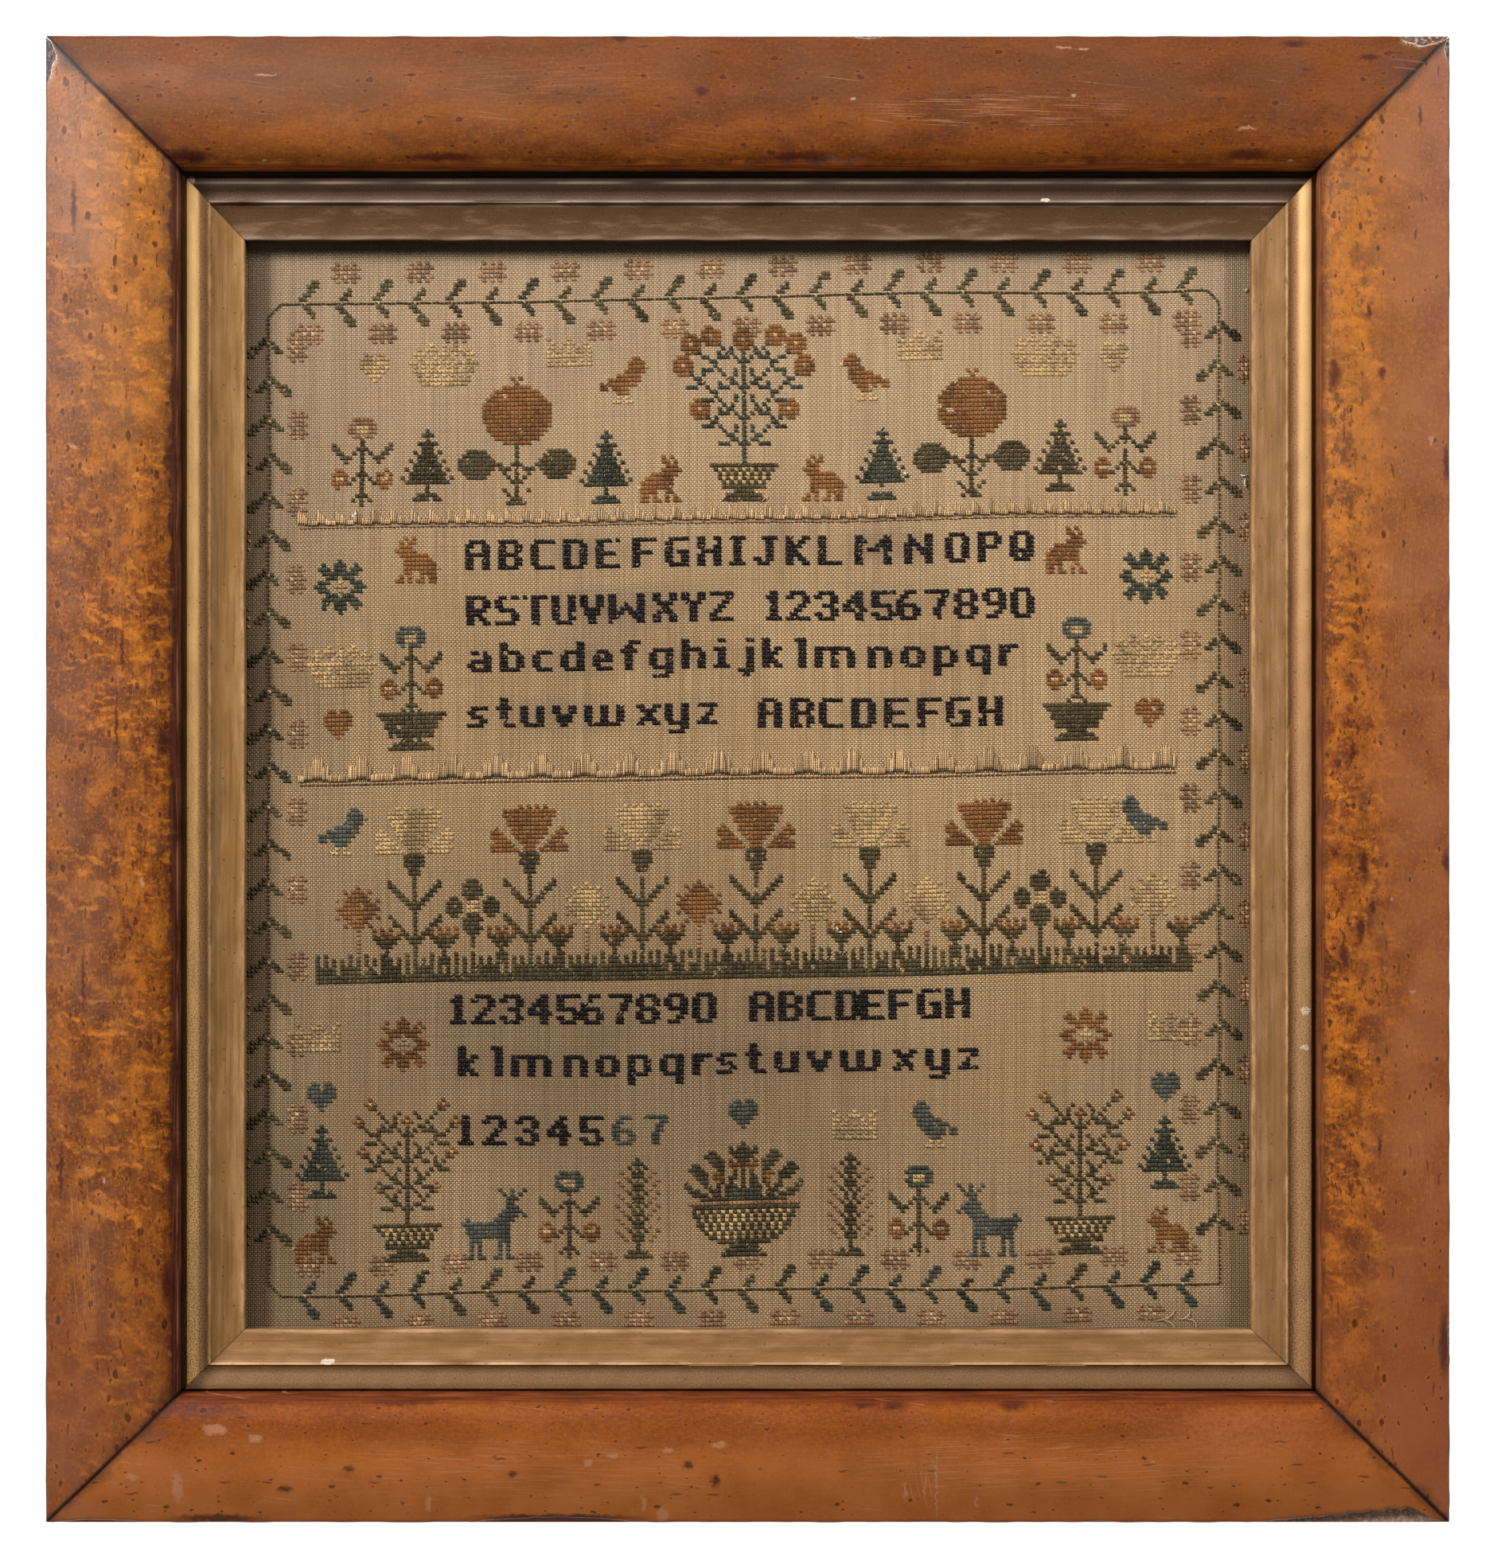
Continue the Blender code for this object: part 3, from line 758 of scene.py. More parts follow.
def gilding(side):
    """Old bronzed gilding, rubbed to gesso on its arrises, where the rubbed lines are also painted
    highlights, and darkened in its quirks by dirt and painted shade. The bead is painted bright where lit and
    darker where shaded.
    """
    look = GILT[side]
    paint = Paint(f"aged_gilding_{side}", Metallic=0.15, Specular_IOR_Level=0.3)
    place = paint.place()
    here = paint.shifted(place, (SIDES.index(side) * 700.0, 0.0, 0.0))
    streak = paint.noise(paint.scaled(here, (0.022, 0.75, 1.0)), 1.0, 4.0, 0.6)
    inward = paint.between(paint.split(place)[1], 50.0, 60.0, -0.035, 0.035)
    patch = paint.noise(paint.scaled(here, (0.05, 0.24, 1.0)), 1.0, 5.0, 0.65)
    patch = paint.maths("ADD", patch, inward)
    speck = paint.noise(here, 2.4, 3.0, 0.7)

    flat = paint.mix(paint.between(patch, *PATCHY[side]), colour(*look["flat"]), colour(*look["pale"]))
    flat = paint.mix(paint.between(streak, 0.44, 0.68, 0.0, 0.50), flat, colour(104, 74, 44))
    # The bead: painted highlight on its lit part and painted shade on the rest, with sooty speckles heavier
    # on the shaded part
    band = paint.attribute("band")
    lit = paint.attribute("lit")
    dulled = paint.between(patch, 0.38, 0.62, 0.0, 0.45)
    bright = paint.mix(dulled, colour(*look["band"]), colour(*look["dull_shade"]))
    rounded = paint.mix(lit, colour(*look["dull_shade"]), bright)
    soot_and_shade = paint.between(paint.maths("ADD", speck, paint.maths("MULTIPLY", lit, -0.12)), 0.44, 0.62, 0.0, 0.5)
    rounded = paint.mix(soot_and_shade, rounded, colour(74, 56, 42))
    tone = paint.mix(band, flat, rounded)
    tone = paint.mix(paint.between(speck, 0.54, 0.72, 0.0, 0.45), tone, colour(84, 62, 38))
    tone = paint.mix(paint.between(speck, 0.44, 0.28, 0.0, 0.30), tone, colour(206, 166, 118))
    distance, random = paint.cells(paint.scaled(here, (0.30, 0.30, 0.0)), 1.0)
    spot = paint.maths("MULTIPLY", paint.between(distance, 0.12, 0.05), paint.between(random[1], 0.84, 0.86))
    tone = paint.mix(paint.maths("MULTIPLY", spot, 0.6), tone, colour(66, 46, 30))

    # Rubbed pale lines on the arrises: wear that is also a painted highlight
    broken = paint.noise(paint.scaled(here, (0.25, 1.0, 1.0)), 1.0, 4.0, 0.65)
    rub_and_highlight = paint.maths("MULTIPLY", paint.attribute("rub_and_highlight"), paint.between(broken, *look["broken"]))
    tone = paint.mix(paint.maths("MULTIPLY", rub_and_highlight, look["rub_and_highlight"]), tone, colour(*look["worn"]))
    ragged = paint.jiggle(place, 0.9, (1.6, 1.6, 0.0))
    bare = largest(paint, [oval(paint, ragged, row, 1.1, 0.9) for row in CHIPS[side]])
    tone = paint.mix(paint.maths("MULTIPLY", bare, 0.9), tone, colour(222, 204, 182))
    # Dirt and painted shade in the quirks, beside the ridge and under the nose
    tone = paint.mix(paint.maths("MULTIPLY", paint.attribute("grime_and_shade"), 0.86), tone, colour(50, 36, 26))
    mitre = paint.maths("MULTIPLY", paint.attribute("mitre"), 1 / MM)
    tone = paint.mix(paint.between(mitre, 0.5, 0.0, 0.0, 0.7), tone, colour(60, 42, 26))

    # The long sides' beads are painted lighter towards their upper ends, painted light, and darker with
    # speckles towards their lower ends, tarnished and in painted shade
    if side in ("left", "right"):
        along = paint.maths("MULTIPLY", paint.split(place)[0], -1.0 if side == "left" else 1.0)
        tarnish_and_shade = paint.maths("MULTIPLY", paint.between(along, 50.0, -120.0, 0.0, 0.80), band)
        tarnish_and_shade = paint.maths("MULTIPLY", tarnish_and_shade, paint.between(speck, 0.46, 0.56))
        tone = paint.mix(tarnish_and_shade, tone, colour(112, 88, 66))
        near = paint.between(along, 0.0, 160.0, 0.0, 0.50)
        tone = paint.mix(paint.maths("MULTIPLY", near, lit), tone, colour(250, 204, 134))
    paint.drive("Base Color", tone)
    paint.drive("Roughness", paint.between(patch, 0.3, 0.7, 0.45, 0.62))
    relief = paint.maths("ADD", paint.maths("MULTIPLY", speck, 0.6), streak)
    paint.bump(relief, 0.00010, 0.6)
    return paint.material


def linen():
    """Fine tabby cloth, with a light and a dark face for each crossing, painted shade in the gaps between
    threads, slubs, patches painted lighter and darker, and soiling with painted shade at its edges.
    """
    paint = Paint("tabby_linen", Sheen_Weight=0.15, Sheen_Roughness=0.6, Specular_IOR_Level=0.15)
    uv = paint.node("ShaderNodeUVMap", uv_map="place").outputs[0]
    threads = paint.split(uv)
    waves = []
    for axis in range(2):
        turned = paint.maths("MULTIPLY_ADD", threads[axis], math.pi)
        turned.node.inputs[2].default_value = -math.pi / 2
        waves.append(paint.maths("COSINE", turned))
    crossing = paint.maths("MULTIPLY", waves[0], waves[1])
    streaks = paint.noise(paint.scaled(uv, (0.45, 0.006, 1.0)), 1.0, 3.0, 0.6)
    height = paint.maths("POWER", paint.maths("ABSOLUTE", crossing), 0.6)

    warp = paint.noise(paint.scaled(uv, (0.9, 0.012, 1.0)), 1.0, 3.0, 0.7)
    weft = paint.noise(paint.scaled(uv, (0.014, 0.9, 1.0)), 1.0, 3.0, 0.7)
    cloud = paint.noise(uv, 0.014, 4.0, 0.6)
    tone = paint.mix(paint.between(crossing, -0.5, 0.5), colour(152, 119, 80), colour(222, 188, 141))
    tone = paint.mix(paint.between(warp, 0.50, 0.72, 0.0, 0.45), tone, colour(214, 184, 138))
    tone = paint.mix(paint.between(warp, 0.50, 0.32, 0.0, 0.40), tone, colour(134, 101, 66))
    tone = paint.mix(paint.between(weft, 0.50, 0.70, 0.0, 0.35), tone, colour(134, 101, 66))
    # The gaps between threads painted dark: painted shade
    tone = paint.mix(paint.between(height, 0.5, 0.05, 0.0, 0.90), tone, colour(84, 60, 36))
    tone = paint.mix(paint.between(cloud, 0.42, 0.66, 0.0, 0.30), tone, colour(170, 130, 86))
    bleed = paint.attribute("bleed")
    tone = paint.mix(paint.maths("MULTIPLY", bleed, 0.62), tone, colour(82, 64, 50))
    # Soiling at the edges: dirt together with painted shade beside the slips
    soil_and_shade = paint.attribute("soil_and_shade")
    tone = paint.mix(paint.maths("MULTIPLY", soil_and_shade, 0.80), tone, colour(88, 72, 56))
    tone = paint.mix(paint.between(threads[1], 220.0, 20.0, 0.0, 0.30), tone, colour(186, 163, 140))
    light = paint.maths("MULTIPLY", paint.attribute("cloth_lightness"), paint.between(streaks, 0.34, 0.66, 0.95, 1.11))
    tone = paint.mix(1.0, tone, light, blend_type="MULTIPLY")
    paint.drive("Base Color", tone)
    fuzz = paint.noise(uv, 1.7, 3.0, 0.7)
    relief = paint.maths("ADD", height, paint.maths("MULTIPLY", fuzz, 0.5))
    relief = paint.maths("ADD", relief, paint.maths("MULTIPLY", warp, 0.6))
    paint.bump(relief, 0.00030, 1.0)
    paint.shader.inputs["Roughness"].default_value = 0.9
    return paint.material


def thread(name, tone):
    """Twisted thread, its tone varied from stitch to stitch."""
    paint = Paint(f"thread_{name}", Roughness=0.8, Specular_IOR_Level=0.15)
    here = paint.place()
    parts = paint.split(here)
    twist = paint.maths("ADD", paint.maths("MULTIPLY", parts[0], 9.0), paint.maths("MULTIPLY", parts[1], 4.0))
    ply = paint.maths("SINE", twist)
    shade = paint.attribute("shade")
    light = tuple(min(1.0, c * 1.40) for c in colour(*tone)[:3]) + (1.0,)
    dark = tuple(c * 0.50 for c in colour(*tone)[:3]) + (1.0,)
    base = paint.mix(paint.between(shade, 0.0, 1.0), dark, light)
    # The grooves of the twist painted dark: painted shade
    base = paint.mix(paint.between(ply, 0.2, -0.9, 0.0, 0.45), base, dark)
    paint.drive("Base Color", base)
    paint.bump(ply, 0.00008, 0.8)
    return paint.material


def old_wood(name, light, dark, grain, roughness, dust_tone=None, gritty_from=None):
    """Plain old softwood, grained along one of the axes.

    With a dust tone it is a rail: dusty on its face, which can be bare from a place along x on, and stained
    dark on its sides.
    """
    paint = Paint(name, Roughness=roughness, Specular_IOR_Level=0.3)
    where = paint.node("ShaderNodeTexCoord").outputs["Object"]
    figure = paint.noise(paint.scaled(where, grain), 1.0, 5.0, 0.65, 0.3)
    tone = paint.mix(paint.between(figure, 0.32, 0.70), colour(*dark), colour(*light))
    if dust_tone is not None:
        dust = paint.noise(where, 900.0, 4.0, 0.7)
        tone = paint.mix(paint.between(dust, 0.48, 0.62, 0.0, 0.70), tone, colour(*dust_tone))
        # Before a place along x the face takes the bow's reddish tone, painted lighter against the shade it
        # lies in
        if gritty_from is not None:
            stained = paint.between(paint.split(where)[0], gritty_from, gritty_from - 20 * MM)
            tone = paint.mix(stained, tone, colour(*BOW_WOOD_LIGHTENED))
        normal = paint.node("ShaderNodeNewGeometry").outputs["True Normal"]
        face_up = paint.between(paint.split(normal)[2], 0.2, 0.5)
        sides = paint.mix(paint.between(figure, 0.32, 0.70), *(colour(*stain) for stain in SIDE_STAIN))
        tone = paint.mix(face_up, sides, tone)
    paint.drive("Base Color", tone)
    paint.bump(figure, 0.0003, 0.7)
    return paint.material


# Frame pieces

# Losses along the outer edge of the veneer: side, where each starts, is deepest and ends, how deep it gets,
# and the power that shapes it: a low one for a bowed loss, 1 for a straight wedge
LOSSES = (
    ("left", 209.0, 221.0, 227.0, 3.2, 0.7),
    ("top", 197.5, 206.0, 212.5, 3.4, 0.5),
    ("right", 217.0, 221.0, 225.0, 1.6, 0.5),
    ("top", 30.0, 36.0, 42.0, 0.9, 0.5),
    ("bottom", -81.7, -58.7, -35.7, 1.9, 0.5),
    ("bottom", 153.0, 204.0, 209.0, 5.0, 1.0),
    ("bottom", -209.0, -196.0, -183.0, 1.0, 0.5),
    ("left", -124.5, -120.0, -115.5, 0.5, 0.5),
    ("right", -174.0, -168.0, -162.0, 0.6, 0.5),
)


def loss_depth(side, place):
    """How far the veneer's outer edge has broken away, along a side."""
    depth = 0.12 * MM * (1 + ripple(place, 0 * place, 9 * MM, 31 + SIDES.index(side)))
    for number, (where, start, deepest, end, deep, power) in enumerate(LOSSES):
        if where != side:
            continue
        rise = (place / MM - start) / (deepest - start)
        fall = (end - place / MM) / (end - deepest)
        bow = np.clip(np.minimum(rise, fall), 0, 1) ** power
        ragged = 1 + 0.12 * ripple(place, 0 * place, 4.0 * MM, 51 + number)
        depth = np.maximum(depth, deep * MM * bow * ragged)
    return depth


def face_height(across):
    """Height of the rail's cushion face at a distance in from its outer edge, up to the crown."""
    rise = CROWN_HEIGHT - OUTER_EDGE_HEIGHT
    return OUTER_EDGE_HEIGHT + rise * np.sin(math.pi / 2 * np.clip(across / CROWN_AT, 0, 1))


def veneer(side):
    shares = stations(330)
    start, end = side_ends(side, np.array(0.0), OUTSIDE, RAIL_WIDTH)
    place = world_along(side, start + (end - start) * shares)
    loss = loss_depth(side, place)[:, None]

    slope = np.concatenate([[0.0, 0.008, 0.02], np.linspace(0.05, 0.96, 18)])[None, :]
    across = loss + (CROWN_AT - loss) * slope
    wave = 0.07 * MM * ripple(place[:, None], across, 16 * MM, 71 + SIDES.index(side))
    height = face_height(across) + wave * np.sin(math.pi * slope)
    height[:, 0] -= 0.30 * MM
    height[:, 1] -= 0.08 * MM

    turn = np.linspace(0, math.pi / 2, 11)
    reach = NOMINAL_RAIL - CROWN_AT
    roll_across = CROWN_AT + reach * np.sin(turn)
    roll_height = CROWN_HEIGHT - ROLL_DROP * (1 - np.cos(turn))
    under_turn = turn[::-2]
    under_across = CROWN_AT + (reach - VENEER) * np.sin(under_turn)
    under_height = CROWN_HEIGHT - VENEER - (ROLL_DROP - VENEER) * (1 - np.cos(under_turn))
    under_slope = np.linspace(0.9, 0.0, 8)[None, :]
    back_across = loss + (CROWN_AT - loss) * under_slope
    back_height = face_height(back_across) - VENEER

    ones = np.ones((len(shares), 1))
    inner = ones * np.concatenate([roll_across, [NOMINAL_RAIL, NOMINAL_RAIL - VENEER], under_across])
    inner_height = ones * np.concatenate([roll_height, [LIP_BOTTOM, LIP_BOTTOM], under_height])
    across = np.concatenate([across, inner, back_across], axis=1)
    height = np.concatenate([height, inner_height, back_height], axis=1)
    chip = np.zeros_like(across)
    by_edge = np.clip(1 - (across - loss) / (0.7 * MM), 0, 1)
    chip[:, :6] = (by_edge * np.clip(loss / MM - 0.6, 0, 1))[:, :6]
    inset = across * RAIL_WIDTH[side] / NOMINAL_RAIL
    piece = sweep_side(
        f"veneer_{side}", side, inset, height, shares, OUTSIDE, RAIL_WIDTH,
        maple(side), {"across": across / NOMINAL_RAIL, "chip": chip},
    )
    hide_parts(f"facing_{side}")
    return piece


# Damage to the slips' ridge and bead: side, centre and length along it, and how much of the rise is lost
RIDGE_BREAKS = (
    ("bottom", -8.0, 20.0, 0.7),
    ("bottom", 45.0, 34.0, 0.8),
    ("bottom", 96.0, 12.0, 0.6),
    ("right", 12.0, 9.0, 0.5),
    ("top", -70.0, 26.0, 0.4),
)


def slip_profile(side):
    """Points of the slip's section, from the rebate to the sight edge, and where its ridge lies."""
    lean = np.linspace(0, 1, 17)[:-1]
    up = np.sin(math.pi / 2 * np.clip(lean / BEAD_CREST, 0, 1))
    down = np.cos(math.pi / 2 * np.clip((lean - BEAD_CREST) / (1 - BEAD_CREST), 0, 1))
    rising = FLANGE_TOP + (BEAD_TOP - FLANGE_TOP) * up
    falling = COVE_TOP + (BEAD_TOP - COVE_TOP) * down
    bead_across = BEAD_START[side] + (BEAD_END - BEAD_START[side]) * lean
    bead_height = np.where(lean < BEAD_CREST, rising, falling)

    share = np.linspace(0, 1, 7)
    cove_across = BEAD_END + COVE_WIDTH * share
    cove_height = COVE_TOP - COVE_SAG * np.sin(math.pi * share)
    ridge_start = BEAD_END + COVE_WIDTH
    ridge_across = ridge_start + RIDGE_WIDTH * share[1:]
    ridge_base = COVE_TOP + (SLOPE_TOP - COVE_TOP) * share[1:] ** 3
    ridge_height = ridge_base + RIDGE_RISE * np.sin(math.pi * share[1:])

    slope_start = ridge_start + RIDGE_WIDTH + 0.1 * MM
    nose_start = NOMINAL_SLIP - NOSE_WIDTH
    fall = np.linspace(0, 1, 12)
    slope_across = slope_start + (nose_start - slope_start) * fall
    slope_height = SLOPE_TOP + (NOSE_TOP - SLOPE_TOP) * fall - SLOPE_SAG * np.sin(math.pi * fall)
    nose_across = [NOMINAL_SLIP - 0.25 * MM, NOMINAL_SLIP, NOMINAL_SLIP, 0.0]
    nose_height = [NOSE_TOP - 0.15 * MM, NOSE_TOP - NOSE_DROP, SLIP_BACK, SLIP_BACK]
    across = np.concatenate([[0.0], bead_across, cove_across, ridge_across, slope_across, nose_across])
    height = np.concatenate([[FLANGE_TOP], bead_height, cove_height, ridge_height, slope_height, nose_height])
    on_ridge = (across > ridge_start) & (across < slope_start)
    return across, height, on_ridge, ridge_start, slope_start


def near(place, centre, length):
    """1 within a stretch along a side, with soft ends."""
    return np.clip((length / 2 - np.abs(place / MM - centre)) / 0.8, 0, 1)


# Where each side's bead is rubbed pale, in a line that is also a painted highlight: distance in from its
# start, half width and strength
BEAD_LINE = {
    "left": (1.6 * MM, 0.9 * MM, 0.30),
    "right": (1.9 * MM, 0.9 * MM, 0.30),
    "top": (2.0 * MM, 0.32 * MM, 0.90),
    "bottom": (0.7 * MM, 0.30 * MM, 0.95),
}
# How far in from its start each side's bead is painted bright as if lit, how dark the painted shade line
# inside the ridge is, how much dirt and painted shade darken the quirk by the rail's lip, and how strongly
# the nose is rubbed pale, which is also a painted highlight
BEAD_BRIGHT = {"left": 4.1 * MM, "right": 4.4 * MM, "top": 3.0 * MM, "bottom": 1.2 * MM}
INNER_SHADE_LINE = {"left": 0.10, "right": 0.06, "top": 0.34, "bottom": 0.20}
LIP_GRIME_AND_SHADE = {"left": 0.9, "right": 0.25, "top": 1.0, "bottom": 0.1}
NOSE_RUB_AND_HIGHLIGHT = {"left": 0.75, "right": 0.75, "top": 0.45, "bottom": 0.6}


def hump(distance, width):
    """1 at no distance, with soft sides of about that width."""
    return np.exp(-((distance / width) ** 2))


def gilt_slip(side):
    shares = stations(300)
    profile, profile_height, on_ridge, ridge_start, slope_start = slip_profile(side)
    width = SIGHT_INSET[side] - SLIP_OUTER[side]
    inset = np.ones((len(shares), 1)) * (SLIP_OUTER[side] + width * profile / NOMINAL_SLIP)
    height = np.ones((len(shares), 1)) * profile_height
    start, end = side_ends(side, inset, SLIP_OUTER, SIGHT_INSET)
    place = world_along(side, start + (end - start) * shares[:, None])
    seed = 101 + 10 * SIDES.index(side)

    shown = np.ones(len(profile))
    shown[0] = 0
    shown[-3:] = 0
    height = height + 0.06 * MM * shown * ripple(place, inset, 6 * MM, seed)
    wobble = 0.10 * MM * ripple(place, 0 * place, 14 * MM, seed + 1)
    inset = inset + wobble * (profile > slope_start) * (np.abs(shares[:, None] - 0.5) < 0.49)

    broken = np.zeros_like(height)
    for where, centre, length, lost in RIDGE_BREAKS:
        if where == side:
            broken = np.maximum(broken, near(place, centre, length) * lost)
    rise = np.where(on_ridge, profile_height - SLOPE_TOP, 0.0)
    height = height - broken * rise * 0.9

    # Rubbed pale lines on the bead, the ridge and the nose: wear that is also a painted highlight
    line_at, line_width, line_strength = BEAD_LINE[side]
    bead = profile - BEAD_START[side]
    rub_and_highlight = line_strength * hump(bead - line_at, line_width)
    rub_and_highlight = rub_and_highlight + 0.9 * hump(profile - ridge_start - 0.55 * MM, 0.50 * MM)
    rub_and_highlight = rub_and_highlight + NOSE_RUB_AND_HIGHLIGHT[side] * hump(profile - NOMINAL_SLIP + NOSE_WIDTH, 0.6 * MM)
    rub_and_highlight = rub_and_highlight * (0.75 + 0.35 * ripple(place, inset, 10 * MM, seed + 2)) * (1 - 0.8 * broken)
    band = ((bead > -0.1 * MM) & (profile < ridge_start + 0.05 * MM)) * np.ones_like(height)
    # The outer part of the bead is painted bright as if lit; the quirk by the lip, the line inside the ridge
    # and the underside are darkened by dirt and painted shade
    lit = np.clip((BEAD_BRIGHT[side] - bead) / (0.9 * MM) + 0.5, 0, 1) * band
    by_lip = np.clip(-bead / (0.5 * MM), 0, 1) * LIP_GRIME_AND_SHADE[side]
    by_ridge = INNER_SHADE_LINE[side] * hump(profile - slope_start - 0.25 * MM, 0.45 * MM)
    below = profile_height < NOSE_TOP - NOSE_DROP * 0.5
    grime_and_shade = np.clip(by_lip + by_ridge + 0.5 * below, 0, 1) * np.ones_like(height)
    piece = sweep_side(
        f"gilt_slip_{side}", side, inset, height, shares, SLIP_OUTER, SIGHT_INSET,
        gilding(side),
        {"rub_and_highlight": np.clip(rub_and_highlight, 0, 1), "grime_and_shade": grime_and_shade, "band": band, "lit": lit},
    )
    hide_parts(f"slip_{side}")
    return piece


# Cloth


def cockle(x, y, edge_distance):
    """How far the loose cloth lifts, from 0 at its clamped margin."""
    ease = np.clip((edge_distance - CLOTH_MARGIN) / FLAT_BORDER, 0, 1)
    ease = ease * ease * (3 - 2 * ease)
    along = np.sin(2 * math.pi * (x / 0.21 + 0.30 * np.sin(y / 0.07)))
    across = np.sin(2 * math.pi * (y / 0.26 - 0.15) + 1.4 * np.cos(x / 0.09))
    return COCKLE_HEIGHT * ease * (0.5 + 0.28 * along + 0.22 * across)


SIGHT_RIGHT = HIGH.x - SIGHT_INSET["right"]
SIGHT_BOTTOM = LOW.y + SIGHT_INSET["bottom"]
CLOTH_CENTRE = ((SIGHT_LEFT + SIGHT_RIGHT) / 2, (SIGHT_TOP + SIGHT_BOTTOM) / 2)


def on_cloth(column, row):
    """World place of a point in stitches from the sight's top left corner: the weave is a little skewed."""
    u = (column - COLUMNS / 2) * PITCH_X
    v = (row - ROWS / 2) * PITCH_Y
    pull = 0.30 * MM * ripple(u, v, 45 * MM, 7)
    sway = 0.35 * MM * ripple(u, v, 60 * MM, 8)
    x = CLOTH_CENTRE[0] + u + pull
    y = CLOTH_CENTRE[1] - v + WEFT_SKEW * u * (1 - 0.8 * v) + sway
    half_x = (SIGHT_RIGHT - SIGHT_LEFT) / 2 + CLOTH_MARGIN
    half_y = (SIGHT_TOP - SIGHT_BOTTOM) / 2 + CLOTH_MARGIN
    edge = np.minimum(half_x - np.abs(x - CLOTH_CENTRE[0]), half_y - np.abs(y - CLOTH_CENTRE[1]))
    z = CLOTH_TOP + cockle(x - CLOTH_CENTRE[0], y - CLOTH_CENTRE[1], edge)
    return x, y, z


# Soft patches that paint the cloth lighter (change above 0) and darker (change below 0): middle column and
# row, half width and height, and change
LIGHTNESS_PATCHES = (
    (86, 188, 52, 46, -0.34),
    (8, 228, 24, 26, -0.30),
    (14, 118, 30, 120, -0.09),
    (38, 180, 22, 14, -0.14),
    (128, 210, 40, 24, -0.14),
    (196, 200, 46, 46, -0.06),
    (178, 62, 84, 78, 0.17),
    (205, 130, 46, 30, 0.10),
)


def cloth_lightness(column, row):
    """How light the cloth is at a place, 1 on the whole."""
    light = np.ones(np.broadcast(column, row).shape)
    for middle_column, middle_row, half_width, half_height, change in LIGHTNESS_PATCHES:
        u = (column - middle_column) / half_width
        v = (row - middle_row) / half_height
        light = light + change * np.exp(-(u * u + v * v) * 0.9)
    return light + 0.03 * ripple(column, row, 34.0, 23)


def bled_dye(canvas, column, row):
    """How much of the letters' dye has run into the cloth at a place, from 0 to 1."""
    dark = (canvas.cells == "n").astype(float)
    for _ in range(3):
        for axis in (0, 1):
            dark = sum(np.roll(dark, k, axis) for k in range(-2, 3)) / 5
    near_row = np.clip(np.round(row).astype(int), 0, ROWS - 1)
    near_column = np.clip(np.round(column).astype(int), 0, COLUMNS - 1)
    patchy = 0.55 + 0.45 * ripple(column, row, 30.0, 17)
    return np.clip(dark[near_row, near_column] * 1.6, 0, 1) * np.clip(patchy, 0.1, 1)


def cloth_sheet(material, canvas):
    margin_columns = CLOTH_MARGIN / PITCH_X
    margin_rows = (CLOTH_MARGIN - 2.0 * MM) / PITCH_Y
    step = 1.7
    columns = np.linspace(-margin_columns, COLUMNS + margin_columns, int(COLUMNS / step))
    rows = np.linspace(-margin_rows, ROWS + margin_rows, int(ROWS / step))
    column, row = np.meshgrid(columns, rows)
    x, y, z = on_cloth(column, row)
    from_left = x - SIGHT_LEFT
    from_right = SIGHT_RIGHT - x
    from_top = SIGHT_TOP - y
    from_bottom = y - SIGHT_BOTTOM
    edge = np.minimum(np.minimum(from_left, from_right), np.minimum(from_top, from_bottom))
    # Soiling along the sight edges, heaviest at the left: dirt together with painted shade beside the slips
    blotch = 0.5 + 0.5 * ripple(x, y, 25 * MM, 9)
    soil_and_shade = np.exp(-np.clip(edge, 0, 1) / (8 * MM)) * (0.45 + 0.45 * blotch)
    soil_and_shade = np.maximum(soil_and_shade, np.exp(-np.clip(from_left, 0, 1) / (16 * MM)) * (0.75 + 0.25 * blotch))
    soil_and_shade = np.maximum(soil_and_shade, 0.25 * np.clip(blotch - 0.6, 0, 1))

    shades = {"soil_and_shade": soil_and_shade, "bleed": bled_dye(canvas, column, row), "cloth_lightness": cloth_lightness(column, row)}
    top = np.stack([x, y, z], axis=-1).reshape(-1, 3)
    under = top - np.array([0, 0, CLOTH_THICKNESS])
    count = len(top)
    index = np.arange(count).reshape(column.shape)
    a, b, c, d = index[:-1, :-1], index[1:, :-1], index[1:, 1:], index[:-1, 1:]
    quads = np.stack([a, b, c, d], axis=-1).reshape(-1, 4)
    rim = np.concatenate([index[:, 0], index[-1, 1:], index[-2::-1, -1], index[0, -2:0:-1]])
    after = np.roll(rim, -1)
    walls = np.stack([rim, rim + count, after + count, after], axis=-1)
    faces = np.concatenate([quads, quads[:, ::-1] + count, walls])
    uv = np.stack([2 * column, 2 * row], axis=-1).reshape(-1, 2)
    piece = new_piece(
        "linen_sheet", np.concatenate([top, under]), [faces], material,
        np.concatenate([uv, uv]),
        {name: np.tile(values.ravel(), 2) for name, values in shades.items()},
    )
    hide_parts("sampler_cloth")
    return piece


# Charts: a letter for each cross. Half charts are mirrored about their last column

THREADS = {
    "n": ("navy", (31, 27, 29)),
    "g": ("moss", (84, 74, 50)),
    "o": ("olive", (96, 86, 57)),
    "t": ("teal", (66, 72, 61)),
    "r": ("rust", (144, 96, 54)),
    "w": ("brown", (167, 128, 94)),
    "s": ("straw", (204, 171, 122)),
    "b": ("slate", (90, 94, 85)),
    "p": ("pale", (202, 174, 136)),
    "x": ("tan", (206, 172, 128)),
    "d": ("umber", (112, 78, 48)),
}

